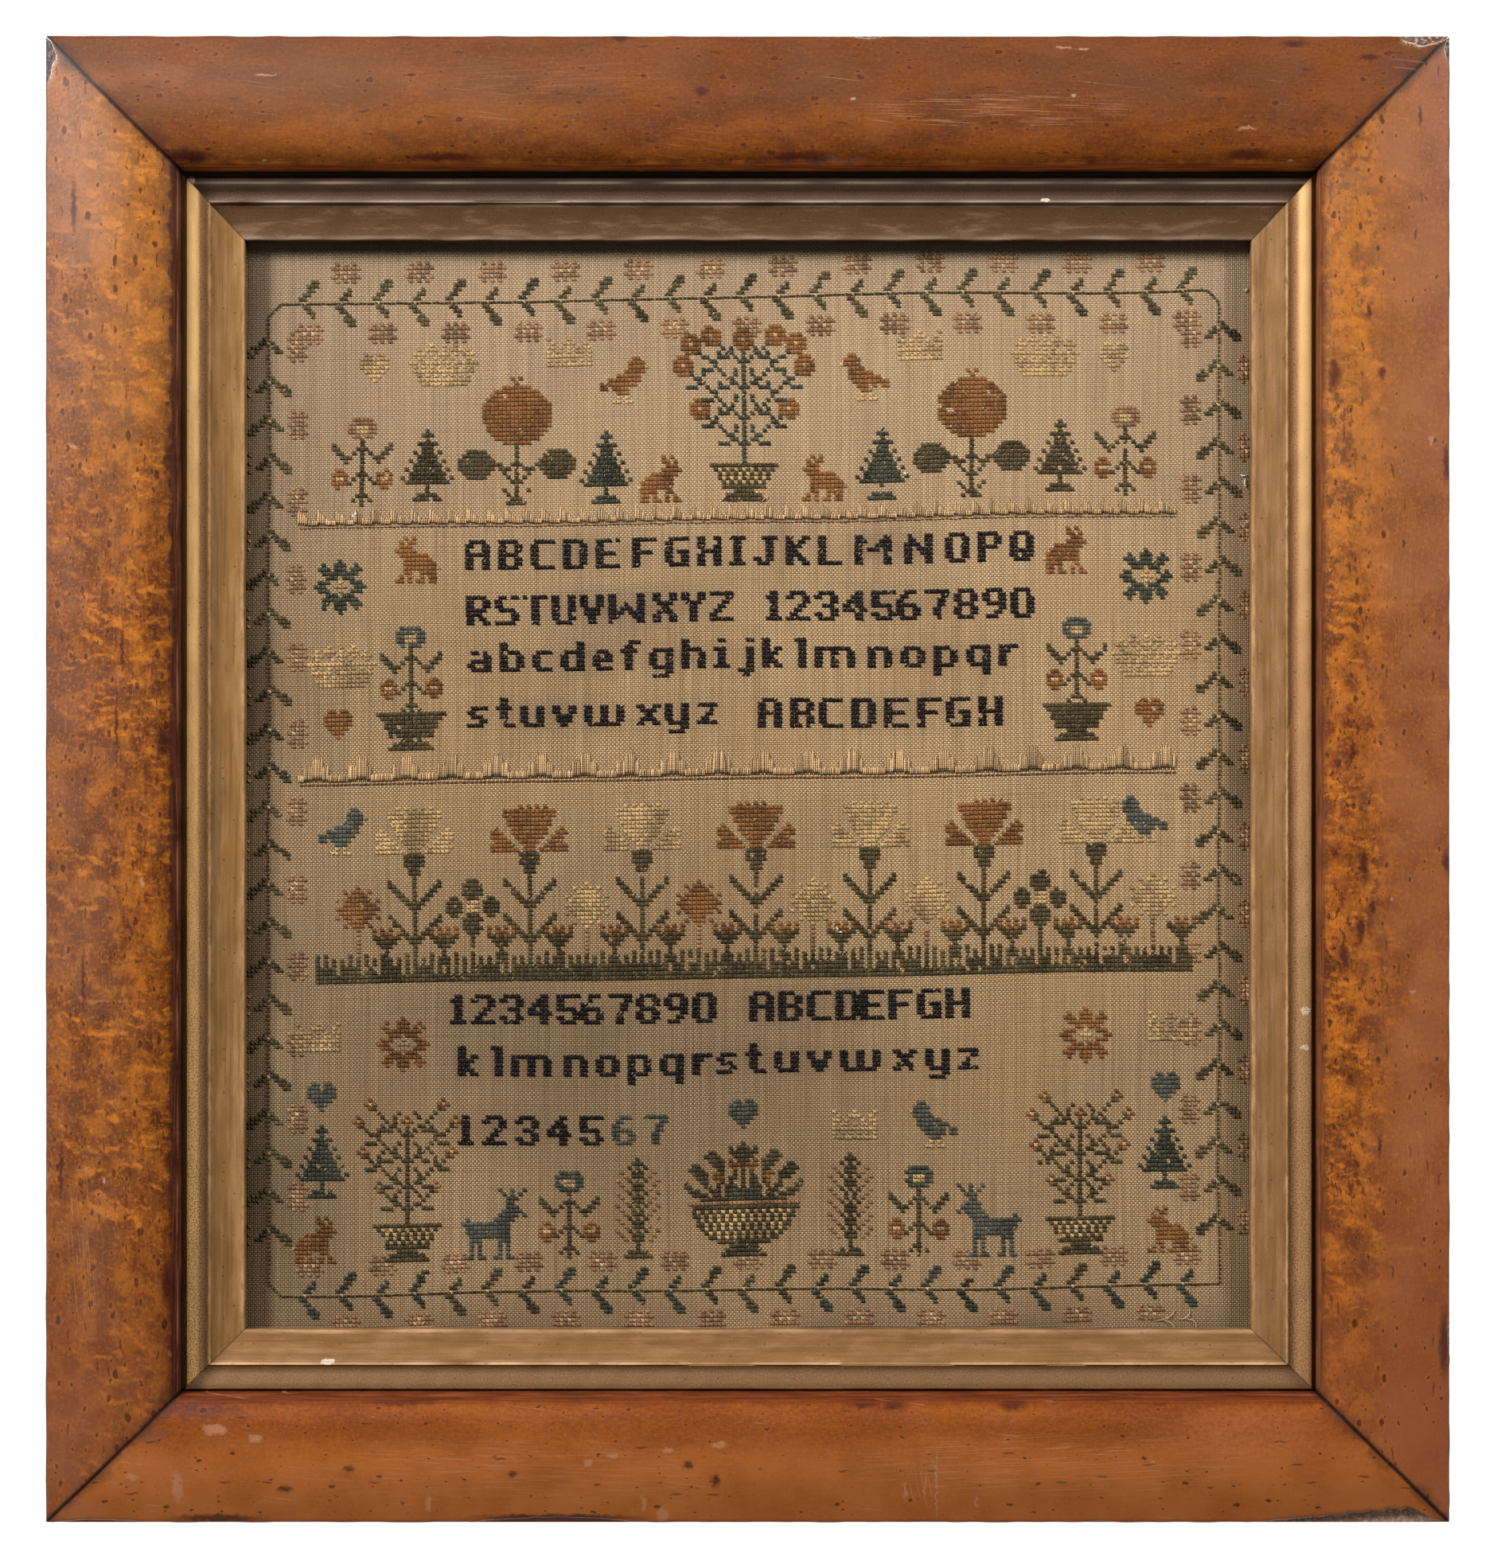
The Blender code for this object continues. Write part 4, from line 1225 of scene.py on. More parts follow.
FIR = """
......g
.....gg
......g
....ggg
.....gg
...g.gg
....ggg
..g.ggg
...gggg
.g.gggg
..ggggg
g.ggggg
.gggggg
......g
......g
....ggg
...gggg
"""

CROWN = """
s....s
.s..ss
ss.s.s
s.ss.s
ssssss
s.s.s.
ssssss
"""

HEART = """
.rr.
rrrr
rrrr
rrrr
.rrr
..rr
...r
"""

BIRD = """
...rr........
..rrrr.......
.srrrr.......
..rrrrr......
...rrrrrr....
...rrrrrrrr..
....rrrrrrrrr
.....rrrrr.rr
......rrr....
......s.s....
.....ss.ss...
"""

HARE = """
......r.r...
......rr.r..
.......rrr..
......rrrrr.
...rrrrrrr..
..rrrrrrr...
.rrrrrrrr...
srrrrrrrr...
.rrrr..rr...
.rr.r..r.r..
.rr.rr.r.rr.
"""

STAG = """
b..b..b.........
.b.b.b..........
..bbb...........
...bb...........
..bbbb..........
.bbbbb..........
b.bbbbb.........
...bbbbb......b.
....bbbbbbbbbbbb
....bbbbbbbbbbb.
....bbbbbbbbbbb.
....bbbbbbbbbb..
....bbb....bbb..
....b.b....b.b..
....b.b....b.b..
....b.b....b.b..
...bb.bb..bb.bb.
"""

POMEGRANATE = """
.............r.
..............r
...........rrrr
.........rrrrrr
........rrrrrrr
.......rrrrrrrr
......rrrrrrrrr
......rrrrrrrrr
......rrrrrrrrr
......rrrrrrrrr
......rrrrrrrrr
......rrrrrrrrr
.......rrrrrrrr
........rrrrrrr
.........rrrrrr
...........rrrr
..............g
..ggggg.......g
.ggggggg......g
ggggggggg.....g
ggggggggggg..gg
ggggggggg.ggg.g
.ggggggg...g..g
..ggggg.....g.g
.............gg
..............g
...........g..g
............g.g
.............gg
............ggg
"""

CARNATION = """
.....A.A.A
...AAAAAAA
...AAAAAAA
....AAAAAA
....AAAAAA
.A...AAAAA
AAA..AAAAA
AAAA..AAAA
.AAAA..AAA
AAAAAA..AA
AAAAAAA.AA
.......ggg
.......ggg
.......ggg
........gg
........gg
.........g
...g.....g
...gg....g
....gg...g
.....gg..g
......gg.g
.......ggg
........gg
.........g
...g.....g
...gg....g
....gg...g
.....gg..g
......gg.g
.......ggg
........gg
.........g
.........g
.........g
.........g
.........g
.........g
.........g
"""

PINK = """
.....A
..A.AA
...AAA
A.AAAA
.AAAAA
AAAAAA
.AAAAA
A.AAAA
...AAA
..A.AA
.....A
.....w
.....w
.....w
.....w
.....w
.....w
.....w
.....w
.....w
.....w
"""

QUATREFOIL = """
.....gg
....ggg
....ggg
....ggg
.gg..gg
gggg.ss
gggg.ss
gggg.ss
.gg..gg
....ggg
....ggg
....ggg
.....gg
......g
......g
......g
......g
......g
......g
......g
......g
......g
"""

TULIP = """
r.r.
r.rr
ggrg
.ggg
..gg
...g
...g
...g
...g
"""

BASKET = """
.....s..s
..s.sss.s
.sss.s.ss
..s...s.s
sssssssss
.s.s.s.s.
.ssssssss
..s.s.s.s
..sssssss
...ssssss
"""

STAR = """
......r
..r..rr
.rrr.rr
..rrrrr
...rrr.
.rrr..s
rrr..ss
.rrr..s
...rrr.
..rrrrr
.rrr.rr
..r..rr
......r
"""

ROSE = """
.....bbb
....bbbb
....bbss
....bbss
.....bbb
.......g
g......g
gg....gg
.gg..g.g
..ggg..g
...g...g
.......g
.rr....g
rrrr..gg
rssr.g.g
rrrrg..g
.rr....g
.......g
......gg
.....g.g
.......g
"""

POT = """
ggggggggg
.gsgsgsgs
..gsgsgsg
..gsgsgsg
...gsgsgs
...gggggg
......ggg
....ggggg
...gggggg
"""

URN = """
..............g
...........g.gg
......gg...gggg
.....gggg...ggg
......gggg.r.gg
..gg...ggg.rrrg
.gggg...gg..r.g
..gggg.rrg..g.g
...ggg.rrr.gg.g
g...gg..rg.gg.g
gg...gg.g.ggg.g
.ggg..ggg.gggtg
..gggg.gg.ggttg
....gggggggtttg
.wwwwwwwwwwwwww
.gggggggggggggg
..gsgsgsgsgsgsg
..ggsgsgsgsgsgs
...gsgsgsgsgsgs
...ggsgsgsgsgsg
....gsgsgsgsgsg
.....gsgsgsgsgs
......ggsgsgsgs
........ggggggg
...........gggg
..........ggggg
.........gggggg
"""

CYPRESS = """
.....g
....gg
...g.g
.w..gg
..w.gg
w..g.g
.w..gg
..w.gg
w..g.g
.w..gg
..w.gg
w..g.g
.w..gg
..w.gg
w..g.g
.w..gg
..w.gg
w..g.g
.w..gg
..w.gg
.....g
.....g
...ggg
..gggg
"""

CAPITALS = (
    """
.###. ####. .#### ####. ##### ##### .#### #...# ### ..### #...# #.... @@.....@@
#...# #...# #.... #...# #.... #.... #.... #...# .#. ...#. #..#. #.... @@@...@@@
#...# #...# #.... #...# #.... #.... #.... #...# .#. ...#. #.#.. #.... @@@@.@@@@
##### ####. #.... #...# ####. ####. #..## ##### .#. ...#. ##... #.... @@.@@@.@@
#...# #...# #.... #...# #.... #.... #...# #...# .#. ...#. #.#.. #.... @@..@..@@
#...# #...# #.... #...# #.... #.... #...# #...# .#. #..#. #..#. #.... @@.....@@
#...# ####. .#### ####. ##### #.... .#### #...# ### .##.. #...# ##### @@.....@@
""",
    """
@@...@@ .###. ####. .###. ####. .#### ##### #...# #...# @@.....@@ #...# #...# #####
@@@..@@ #...# #...# #...# #...# #.... ..#.. #...# #...# @@.....@@ #...# #...# ....#
@@@@.@@ #...# #...# #...# #...# #.... ..#.. #...# #...# @@..@..@@ .#.#. .#.#. ...#.
@@.@@@@ #...# ####. #...# ####. .###. ..#.. #...# .#.#. @@.@@@.@@ ..#.. ..#.. ..#..
@@..@@@ #...# #.... #.#.# #.#.. ....# ..#.. #...# .#.#. @@@@.@@@@ .#.#. ..#.. .#...
@@...@@ #...# #.... #..## #..#. ....# ..#.. #...# ..#.. @@@...@@@ #...# ..#.. #....
@@...@@ .###. #.... .###. #...# ####. ..#.. .###. ..#.. @@.....@@ #...# ..#.. #####
""",
)

SMALL_LETTERS = (
    """
..... #.... .... ....# .... ..## ..... #.... .#. ..# #.... ## ..........
..... #.... .... ....# .... .#.. ..... #.... ... ... #.... .# ..........
.###. ####. .### .#### .##. ###. .#### ####. ##. ..# #..#. .# @@@@@@@@@.
....# #...# #... #...# #..# .#.. #...# #...# .#. ..# #.#.. .# @@..@@..@@
.#### #...# #... #...# #### .#.. #...# #...# .#. ..# ##... .# @@..@@..@@
#...# #...# #... #...# #... .#.. #...# #...# .#. ..# #.#.. .# @@..@@..@@
.#### ####. .### .#### .### .#.. .#### #...# ### ..# #..#. .# @@..@@..@@
..... ..... .... ..... .... .... ....# ..... ... #.# ..... .. ..........
..... ..... .... ..... .... .... .###. ..... ... .#. ..... .. ..........
""",
    """
..... ..... ..... ..... .... .... .#.. ..... ..... .......... ..... ..... ....
..... ..... ..... ..... .... .... .#.. ..... ..... .......... ..... ..... ....
####. .###. ####. .#### #.## .### ###. #...# #...# @@..@@..@@ #...# #...# ####
#...# #...# #...# #...# ##.. #... .#.. #...# #...# @@..@@..@@ .#.#. #...# ...#
#...# #...# #...# #...# #... .##. .#.. #...# .#.#. @@..@@..@@ ..#.. #...# ..#.
#...# #...# #...# #...# #... ...# .#.. #...# .#.#. @@..@@..@@ .#.#. #...# .#..
#...# .###. ####. .#### #... ###. ..## .#### ..#.. .@@@@@@@@. #...# .#### ####
..... ..... #.... ....# .... .... .... ..... ..... .......... ..... ....# ....
..... ..... #.... ....# .... .... .... ..... ..... .......... ..... .###. ....
""",
)

DIGITS = """
.###. .#. .###. .###. ...#. ##### ..##. ##### .###. .###.
#...# ##. #...# #...# ..##. #.... .#... ....# #...# #...#
#...# .#. ....# ....# .#.#. #.... #.... ...#. #...# #...#
#...# .#. ...#. ..##. #..#. ####. ####. ...#. .###. .####
#...# .#. ..#.. ....# ##### ....# #...# ..#.. #...# ....#
#...# .#. .#... #...# ...#. #...# #...# ..#.. #...# ...#.
.###. ### ##### .###. ...#. .###. .###. ..#.. .###. .##..
"""


def chart_rows(chart, half=True):
    rows = chart.split()
    if half:
        rows = [row + row[-2::-1] for row in rows]
    return rows


def glyphs(names, *charts):
    """Letters cut out of their charts, keyed by name."""
    found = []
    for chart in charts:
        rows = [row.split(" ") for row in chart.strip("\n").split("\n")]
        found += [[row[k] for row in rows] for k in range(len(rows[0]))]
    return dict(zip(names, found, strict=True))


class Canvas:
    """The stitched area as a grid of thread letters, one for each cross."""

    def __init__(self):
        self.cells = np.full((ROWS, COLUMNS), " ")

    def cross(self, column, row, key):
        if 0 <= column < COLUMNS and 0 <= row < ROWS:
            self.cells[row, column] = key

    def stamp(self, chart, column, row, half=True, flip=False, change=()):
        """Works a chart with its middle column and bottom row at a place."""
        rows = chart_rows(chart, half)
        swap = dict(change)
        width = max(len(r) for r in rows)
        for down, line in enumerate(rows):
            for k, key in enumerate(line):
                if key == ".":
                    continue
                across = width - 1 - k if flip else k
                place = row - len(rows) + 1 + down
                self.cross(column - width // 2 + across, place, swap.get(key, key))

    def line(self, start, end, key):
        """A run of crosses from one place to another."""
        steps = max(abs(end[0] - start[0]), abs(end[1] - start[1]), 1)
        for k in range(steps + 1):
            column = round(start[0] + (end[0] - start[0]) * k / steps)
            row = round(start[1] + (end[1] - start[1]) * k / steps)
            self.cross(column, row, key)

    def write(self, text, letters, left, right, row, keys):
        """Letters spread evenly, left to right, tops on one row. A # is worked double, an @ is not."""
        widths = [3 if t == " " else len(letters[t][0]) + 1 for t in text]
        space = (right - left - sum(widths)) / max(len(text) - 1, 1)
        column = float(left)
        for number, t in enumerate(text):
            key = keys[number % len(keys)]
            for down, line in enumerate(letters.get(t, ())):
                for k, mark in enumerate(line):
                    if mark != ".":
                        self.cross(round(column) + k, row + down, key)
                    if mark == "#":
                        self.cross(round(column) + k + 1, row + down, key)
            column += widths[number] + space


# Border: a stem with a leaf and a small pink at every knot, which change sides in turn
KNOT_STEP = 9
BORDER_LEFT, BORDER_RIGHT = 5, 239
BORDER_TOP, BORDER_BOTTOM = 12, 243

KNOT_CHART = """
..w.w.w..
.wwwwwww.
..wpwpw..
.wwwpwww.
..w.w.w..
.........
.....o...
....oo...
...oo....
...p.....
..oo.....
...oo....
....oo...
....ooo..
.....oo..
"""
KNOT_ROW = 9
KNOT_COLUMN = 3


def knot_cells():
    rows = KNOT_CHART.split()
    cells = []
    for down, line in enumerate(rows):
        for k, key in enumerate(line):
            if key != ".":
                cells.append((k - KNOT_COLUMN, down - KNOT_ROW, key))
    return cells


def border(canvas):
    """Knots along the four sides, turned to suit each. The stem that joins them is worked in border_stem."""
    left, right, top, bottom = BORDER_LEFT, BORDER_RIGHT, BORDER_TOP, BORDER_BOTTOM
    cells = knot_cells()
    rng = np.random.default_rng(5)
    for step, start in enumerate(range(left + 9, right - 6, KNOT_STEP)):
        up = 1 if step % 2 else -1
        leaf = rng.choice(["o", "g", "o"])
        for across, down, key in cells:
            key = leaf if key == "o" else key
            canvas.cross(start + across, top + up * down, key)
            canvas.cross(start + across, bottom - up * down, "t" if key == "o" else key)
    for step, start in enumerate(range(top + 9, bottom - 6, KNOT_STEP)):
        out = 1 if step % 2 else -1
        leaf = rng.choice(["o", "g", "o"])
        for across, down, key in cells:
            key = leaf if key == "o" else key
            canvas.cross(left + out * down, start + across, key)
            canvas.cross(right - out * down, start + across, key)


BLOOMS = {
    "small": ((0, -1), (-1, 0), (1, 0), (0, 1)),
    "large": tuple((a, b) for a in range(-2, 3) for b in range(-2, 3) if 0 < abs(a) + abs(b) < 4),
}


def bloom(canvas, column, row, size, petal, heart):
    for across, down in BLOOMS[size]:
        canvas.cross(column + across, row + down, petal)
    canvas.cross(column, row, heart)


def branching_tree(canvas, column, row, height, boughs, size, leaf, petal, heart):
    """A trunk with pairs of boughs that slant up, leaves along them and a bloom at each tip.

    boughs gives how far above the foot each pair starts and how far out it reaches.
    """
    canvas.line((column, row), (column, row - height), leaf)
    for start, reach in boughs:
        for side in (-1, 1):
            rise = round(reach * 0.85)
            foot = (column, row - start)
            tip = (column + side * reach, row - start - rise)
            canvas.line(foot, tip, leaf)
            for k in range(3, reach - 2, 4):
                along = round(k * rise / reach)
                at = (foot[0] + side * k, foot[1] - along)
                canvas.line((at[0], at[1] - 1), (at[0] - side, at[1] - 3), leaf)
                canvas.line((at[0] + side, at[1] + 1), (at[0] + side * 3, at[1] + 1), leaf)
            bloom(canvas, tip[0] + side, tip[1] - 1, size, petal, heart)
    bloom(canvas, column, row - height - 1, size, petal, heart)


def grass(canvas, left, right, base):
    """A comb of short blades on a thick ground line."""
    rng = np.random.default_rng(12)
    canvas.line((left, base), (right, base), "g")
    canvas.line((left, base - 1), (right, base - 1), "g")
    for column in range(left, right + 1, 2):
        tall = 6 if rng.random() < 0.30 else 5
        canvas.line((column, base), (column, base - tall), "o" if rng.random() < 0.5 else "g")
        if rng.random() < 0.7:
            canvas.line((column + 1, base), (column + 1, base - 3), "g")


def sampler():
    """The whole stitched layout."""
    canvas = Canvas()
    border(canvas)
    middle = 122

    # Upper band: a flowering tree between pomegranates, firs, birds and hares
    boughs = ((3, 10), (9, 14), (16, 12), (22, 7))
    branching_tree(canvas, middle, 50, 27, boughs, "large", "t", "r", "s")
    canvas.stamp(POT, middle, 59)
    for side in (-1, 1):
        flip = side > 0
        canvas.stamp(HARE, middle + side * 20, 59, half=False, flip=flip)
        canvas.stamp(BIRD, middle + side * 29, 36, half=False, flip=not flip)
        canvas.stamp(FIR, middle + side * 34, 59, change={"g": "t"})
        canvas.stamp(POMEGRANATE, middle + side * 56, 59)
        canvas.stamp(CROWN, middle + side * 43, 27)
        canvas.stamp(FIR, middle + side * 78, 58)
        canvas.stamp(BASKET, middle + side * 74, 31)
        canvas.stamp(HEART, middle + side * 91, 30, change={"r": "s"})
        canvas.stamp(ROSE, middle + side * 94, 59, change={"b": "w"})

    # Alphabets between two rose trees
    capitals = glyphs("ABCDEFGHIJKLMNOPQRSTUVWXYZ", *CAPITALS)
    small = glyphs("abcdefghijklmnopqrstuvwxyz", *SMALL_LETTERS)
    digits = glyphs("0123456789", DIGITS)
    canvas.write("ABCDEFGHIJKLMNOPQ", capitals, 54, 194, 68, "n")
    canvas.write("RSTUVWXYZ", capitals, 54, 120, 81, "n")
    canvas.write("1234567890", digits, 128, 194, 81, "n")
    canvas.write("abcdefghijklmnopqr", small, 54, 190, 92, "n")
    canvas.write("stuvwxyz", small, 54, 116, 105, "n")
    canvas.write("ABCDEFGH", capitals, 126, 186, 106, "n")
    for side in (-1, 1):
        flip = side > 0
        canvas.stamp(HARE, middle + side * 80, 77, half=False, flip=not flip)
        canvas.stamp(ROSE, middle + side * 82, 108)
        canvas.stamp(POT, middle + side * 82, 116, change={"s": "g"})
        canvas.stamp(STAR, middle + side * 99, 84, change={"r": "t"})
        canvas.stamp(BASKET, middle + side * 99, 101)
        canvas.stamp(HEART, middle + side * 100, 113)

    # Carnations in the grass
    plants = [(41 + round(28 * k), "rs"[k % 2 == 0]) for k in range(7)]
    for column, petal in plants:
        canvas.stamp(CARNATION, column, 168, change={"A": petal})
    for k in range(8):
        column = 27 + 28 * k
        if k in (1, 6):
            canvas.stamp(QUATREFOIL, column, 168)
        else:
            canvas.stamp(PINK, column, 168, change={"A": "rs"[k % 3 > 0]})
        canvas.stamp(TULIP, column + 7, 166)
        if k < 7:
            canvas.stamp(TULIP, column + 21, 166)
    grass(canvas, 17, 232, 170)
    for side in (-1, 1):
        canvas.stamp(BIRD, middle + side * 98, 140, half=False, flip=side < 0, change={"r": "b"})

    # Numerals, and a lower band of potted trees, stags and hares round an urn
    canvas.write("1234567890", digits, 50, 116, 174, "n")
    canvas.write("ABCDEFGH", capitals, 124, 178, 174, "n")
    canvas.write("klmnopqrstuvwxyz", small, 52, 180, 186, "n")
    canvas.write("1234567", digits, 52, 104, 202, "nnnnnbb")
    canvas.stamp(URN, middle, 235)
    canvas.stamp(HEART, 122, 205, change={"r": "b"})
    canvas.stamp(CROWN, 149, 208)
    canvas.stamp(BIRD, 168, 210, half=False, change={"r": "b"})
    for side in (-1, 1):
        flip = side > 0
        low_boughs = ((2, 6), (7, 10), (13, 11), (19, 8))
        branching_tree(canvas, middle + side * 83, 226, 22, low_boughs, "small", "g", "r", "s")
        canvas.stamp(POT, middle + side * 83, 235)
        canvas.stamp(STAR, middle + side * 84, 191)
        canvas.stamp(CYPRESS, middle + side * 26, 235)
        canvas.stamp(ROSE, middle + side * 43, 235)
        canvas.stamp(STAG, middle + side * 61, 235, half=False, flip=not flip)
        canvas.stamp(FIR, middle + side * 104, 220, change={"g": "t"})
        canvas.stamp(HARE, middle + side * 105, 235, half=False, flip=flip)
        canvas.stamp(CROWN, middle + side * 105, 186)
        canvas.stamp(HEART, middle + side * 104, 200, change={"r": "b"})
    return canvas


# Thread arms


def arm_mesh(start, end, wide, high, lift):
    """Closed padded strands from start to end points, each a lozenge section that tapers to its ends.

    start and end are (n, 3). wide, high and lift are (n,): half width, half height, lift of the middle.
    """
    count = len(start)
    along = end - start
    flat = np.stack([-along[:, 1], along[:, 0], np.zeros(count)], axis=-1)
    flat /= np.linalg.norm(flat, axis=1, keepdims=True)
    up = np.array([0.0, 0.0, 1.0])
    shares = (0.0, 0.28, 0.72, 1.0)
    rings = []
    for share in shares[1:-1]:
        middle = start + along * share + up * lift[:, None]
        side = flat * wide[:, None]
        tall = up * high[:, None]
        rings.append(np.stack([middle - side, middle - tall * 0.7, middle + side, middle + tall], axis=1))
    verts = np.concatenate([start[:, None], *rings, end[:, None]], axis=1)
    per = verts.shape[1]
    tris, quads = [], []
    for k in range(4):
        nxt = (k + 1) % 4
        tris.append((0, 1 + nxt, 1 + k))
        tris.append((per - 1, per - 5 + k, per - 5 + nxt))
        for ring in range(len(rings) - 1):
            base = 1 + 4 * ring
            quads.append((base + k, base + nxt, base + 4 + nxt, base + 4 + k))
    offset = (np.arange(count) * per)[:, None, None]
    tris = (np.array(tris)[None] + offset).reshape(-1, 3)
    quads = (np.array(quads)[None] + offset).reshape(-1, 4)
    length = np.linalg.norm(along, axis=1)
    u = length[:, None] * np.concatenate([[0.0], np.repeat(shares[1:-1], 4), [1.0]])[None, :]
    v = np.concatenate([[0.0], np.tile(np.array([0.0, 0.3, 0.6, 0.9]), len(rings)), [0.0]]) * MM
    uv = np.stack([u, np.broadcast_to(v, u.shape)], axis=-1).reshape(-1, 2)
    return verts.reshape(-1, 3), tris, quads, uv, per


def thread_piece(name, arms, key):
    """One joined piece of all the arms in one thread, each as (start, end, wide, high, lift, shade)."""
    parts = [np.concatenate([arm[k] for arm in arms]) for k in range(6)]
    verts, tris, quads, uv, per = arm_mesh(*parts[:5])
    label, tone = THREADS[key]
    return new_piece(
        name, verts, [tris, quads], thread(label, tone), uv,
        {"shade": np.repeat(parts[5], per)}, sharp=math.pi,
    )


def on_cloth_points(column, row, sink):
    x, y, z = on_cloth(column, row)
    return np.stack([x, y, z - sink], axis=-1)


def cross_arms(rows, columns, rng):
    """The two arms of each cross, the upper one always slanting the same way."""
    count = len(rows)
    jitter = lambda: rng.normal(0, 0.05, count)
    worn = rng.random(count)
    tone_shift = 0.22 * ripple(columns * 1.0, rows * 1.0, 9.0, 3) + 0.65 * (cloth_lightness(columns, rows) - 1)
    shade = np.clip(0.5 + rng.normal(0, 0.16, count) + tone_shift, 0, 1)
    arms = []
    for upper in (False, True):
        inset = -0.05
        low, high = inset, 1 - inset
        x0, x1 = (low, high) if upper else (high, low)
        start = on_cloth_points(columns + x0 + jitter(), rows + low + jitter(), 0.05 * MM)
        end = on_cloth_points(columns + x1 + jitter(), rows + high + jitter(), 0.05 * MM)
        wide = rng.normal(0.31, 0.03, count) * MM
        high_half = rng.normal(0.16, 0.015, count) * MM
        lift = np.full(count, 0.30 if upper else 0.14) * MM
        keep = worn > (0.035 if upper else 0.012)
        # The upper arm painted a little lighter and the lower one darker: painted light and shade
        lit_arm_shade = np.clip(shade + (0.06 if upper else -0.06), 0, 1)
        arms.append(tuple(a[keep] for a in (start, end, wide, high_half, lift, lit_arm_shade)))
    return arms


def stitches(canvas):
    pieces = []
    rng = np.random.default_rng(21)
    for key, (label, _) in THREADS.items():
        rows, columns = np.nonzero(canvas.cells == key)
        if len(rows) == 0:
            continue
        pieces.append(thread_piece(f"crosses_{label}", cross_arms(rows, columns, rng), key))
    return pieces


def satin_bars(columns, bottoms, tops, rng):
    count = len(columns)
    start = on_cloth_points(columns, bottoms, 0.05 * MM)
    end = on_cloth_points(columns + rng.normal(0, 0.07, count), tops + rng.normal(0, 0.07, count), 0.05 * MM)
    wide = rng.normal(0.25, 0.03, count) * MM
    high = np.full(count, 0.26) * MM
    lift = rng.normal(0.34, 0.06, count) * MM
    shade = np.clip(rng.normal(0.5, 0.24, count), 0, 1)
    return (start, end, wide, high, lift, shade)


def backstitch(start, end, half_width, rng):
    """Straight stitches end to end from one place on the cloth to another, given in columns and rows."""
    length = math.hypot(end[0] - start[0], end[1] - start[1])
    count = max(int(length), 1)
    shares = np.arange(count) / count
    waver = rng.normal(0, 0.05, (2, count))
    columns = start[0] + (end[0] - start[0]) * shares + waver[0]
    rows = start[1] + (end[1] - start[1]) * shares + waver[1]
    across = (end[0] - start[0]) / count * 1.05
    down = (end[1] - start[1]) / count * 1.05
    thick = rng.normal(half_width, half_width * 0.1, count)
    shade = np.clip(rng.normal(0.42, 0.14, count), 0, 1)
    begin = on_cloth_points(columns, rows, 0.04 * MM)
    stop = on_cloth_points(columns + across, rows + down, 0.04 * MM)
    return (begin, stop, thick, thick * 0.8, thick * 0.8, shade)


def border_stem():
    """The border's stem, a line of straight stitches with its corners cut off."""
    rng = np.random.default_rng(41)
    left, right, top, bottom = (v + 0.5 for v in (BORDER_LEFT, BORDER_RIGHT, BORDER_TOP, BORDER_BOTTOM))
    turns = (
        (left + 3, top), (right - 3, top), (right, top + 3), (right, bottom),
        (left + 3, bottom), (left, bottom - 3), (left, top + 3), (left + 3, top),
    )
    runs = [backstitch(a, b, 0.34 * MM, rng) for a, b in zip(turns, turns[1:])]
    return thread_piece("stem_olive", runs, "o")


DIVIDER_LEFT, DIVIDER_RIGHT = 13, 229
UPPER_DIVIDER_ROW = 64.4
LOWER_DIVIDER_ROW = 124.2


def dividers():
    """Two satin stitched lines: a saw edge and a row of stepped blocks, each on a thin brown line of
    backstitch that also serves as a painted shadow under the satin.
    """
    rng = np.random.default_rng(33)
    bars = np.arange(DIVIDER_LEFT, DIVIDER_RIGHT, 0.50)
    bars = bars + rng.normal(0, 0.04, len(bars))
    tooth = np.mod(bars - DIVIDER_LEFT, 4.6) / 4.6
    saw = 1.6 + 2.9 * np.clip(1 - 1.6 * tooth, 0, 1)
    saw = satin_bars(bars, np.full(len(bars), UPPER_DIVIDER_ROW), UPPER_DIVIDER_ROW - saw, rng)
    block = np.mod(bars - DIVIDER_LEFT, 11.0) / 11.0
    steps = np.select([block < 0.12, block < 0.30, block < 0.52, block < 0.64], [2.2, 4.6, 6.8, 4.6], 2.2)
    blocks = satin_bars(bars, np.full(len(bars), LOWER_DIVIDER_ROW), LOWER_DIVIDER_ROW - steps, rng)
    satin = thread_piece("satin_tan", [saw, blocks], "x")

    # The thin brown lines: backstitch thread that is also a painted shadow under the satin
    levels = (UPPER_DIVIDER_ROW + 0.4, LOWER_DIVIDER_ROW + 0.4)
    runs = [backstitch((DIVIDER_LEFT, row), (DIVIDER_RIGHT, row), 0.22 * MM, rng) for row in levels]
    line = thread_piece("backstitch_brown_and_shadow", runs, "d")
    return [satin, line]


# Loose ends and lint on the cloth: column and row, heading in degrees, length in mm, curl in degrees for each
# mm
LINT = (
    (26.5, 61.6, 250, 1.8, 60),
    (27.0, 61.2, 300, 1.4, -80),
    (145.5, 160.4, 60, 1.6, 70),
    (145.9, 160.6, 20, 1.3, -60),
    (162.4, 54.6, 100, 1.6, 20),
    (246.2, 56.5, 235, 3.6, 24),
    (246.4, 55.8, 215, 2.2, -40),
    (246.8, 12.5, 200, 1.8, 50),
)
FRAYED = (
    (223.0, 251.8, 350, 9.0, 9),
    (225.0, 252.2, 12, 7.0, -16),
    (229.0, 251.4, 335, 6.0, 22),
    (231.5, 252.0, 20, 5.0, -30),
    (127.0, 60.2, 62, 3.0, -14),
)


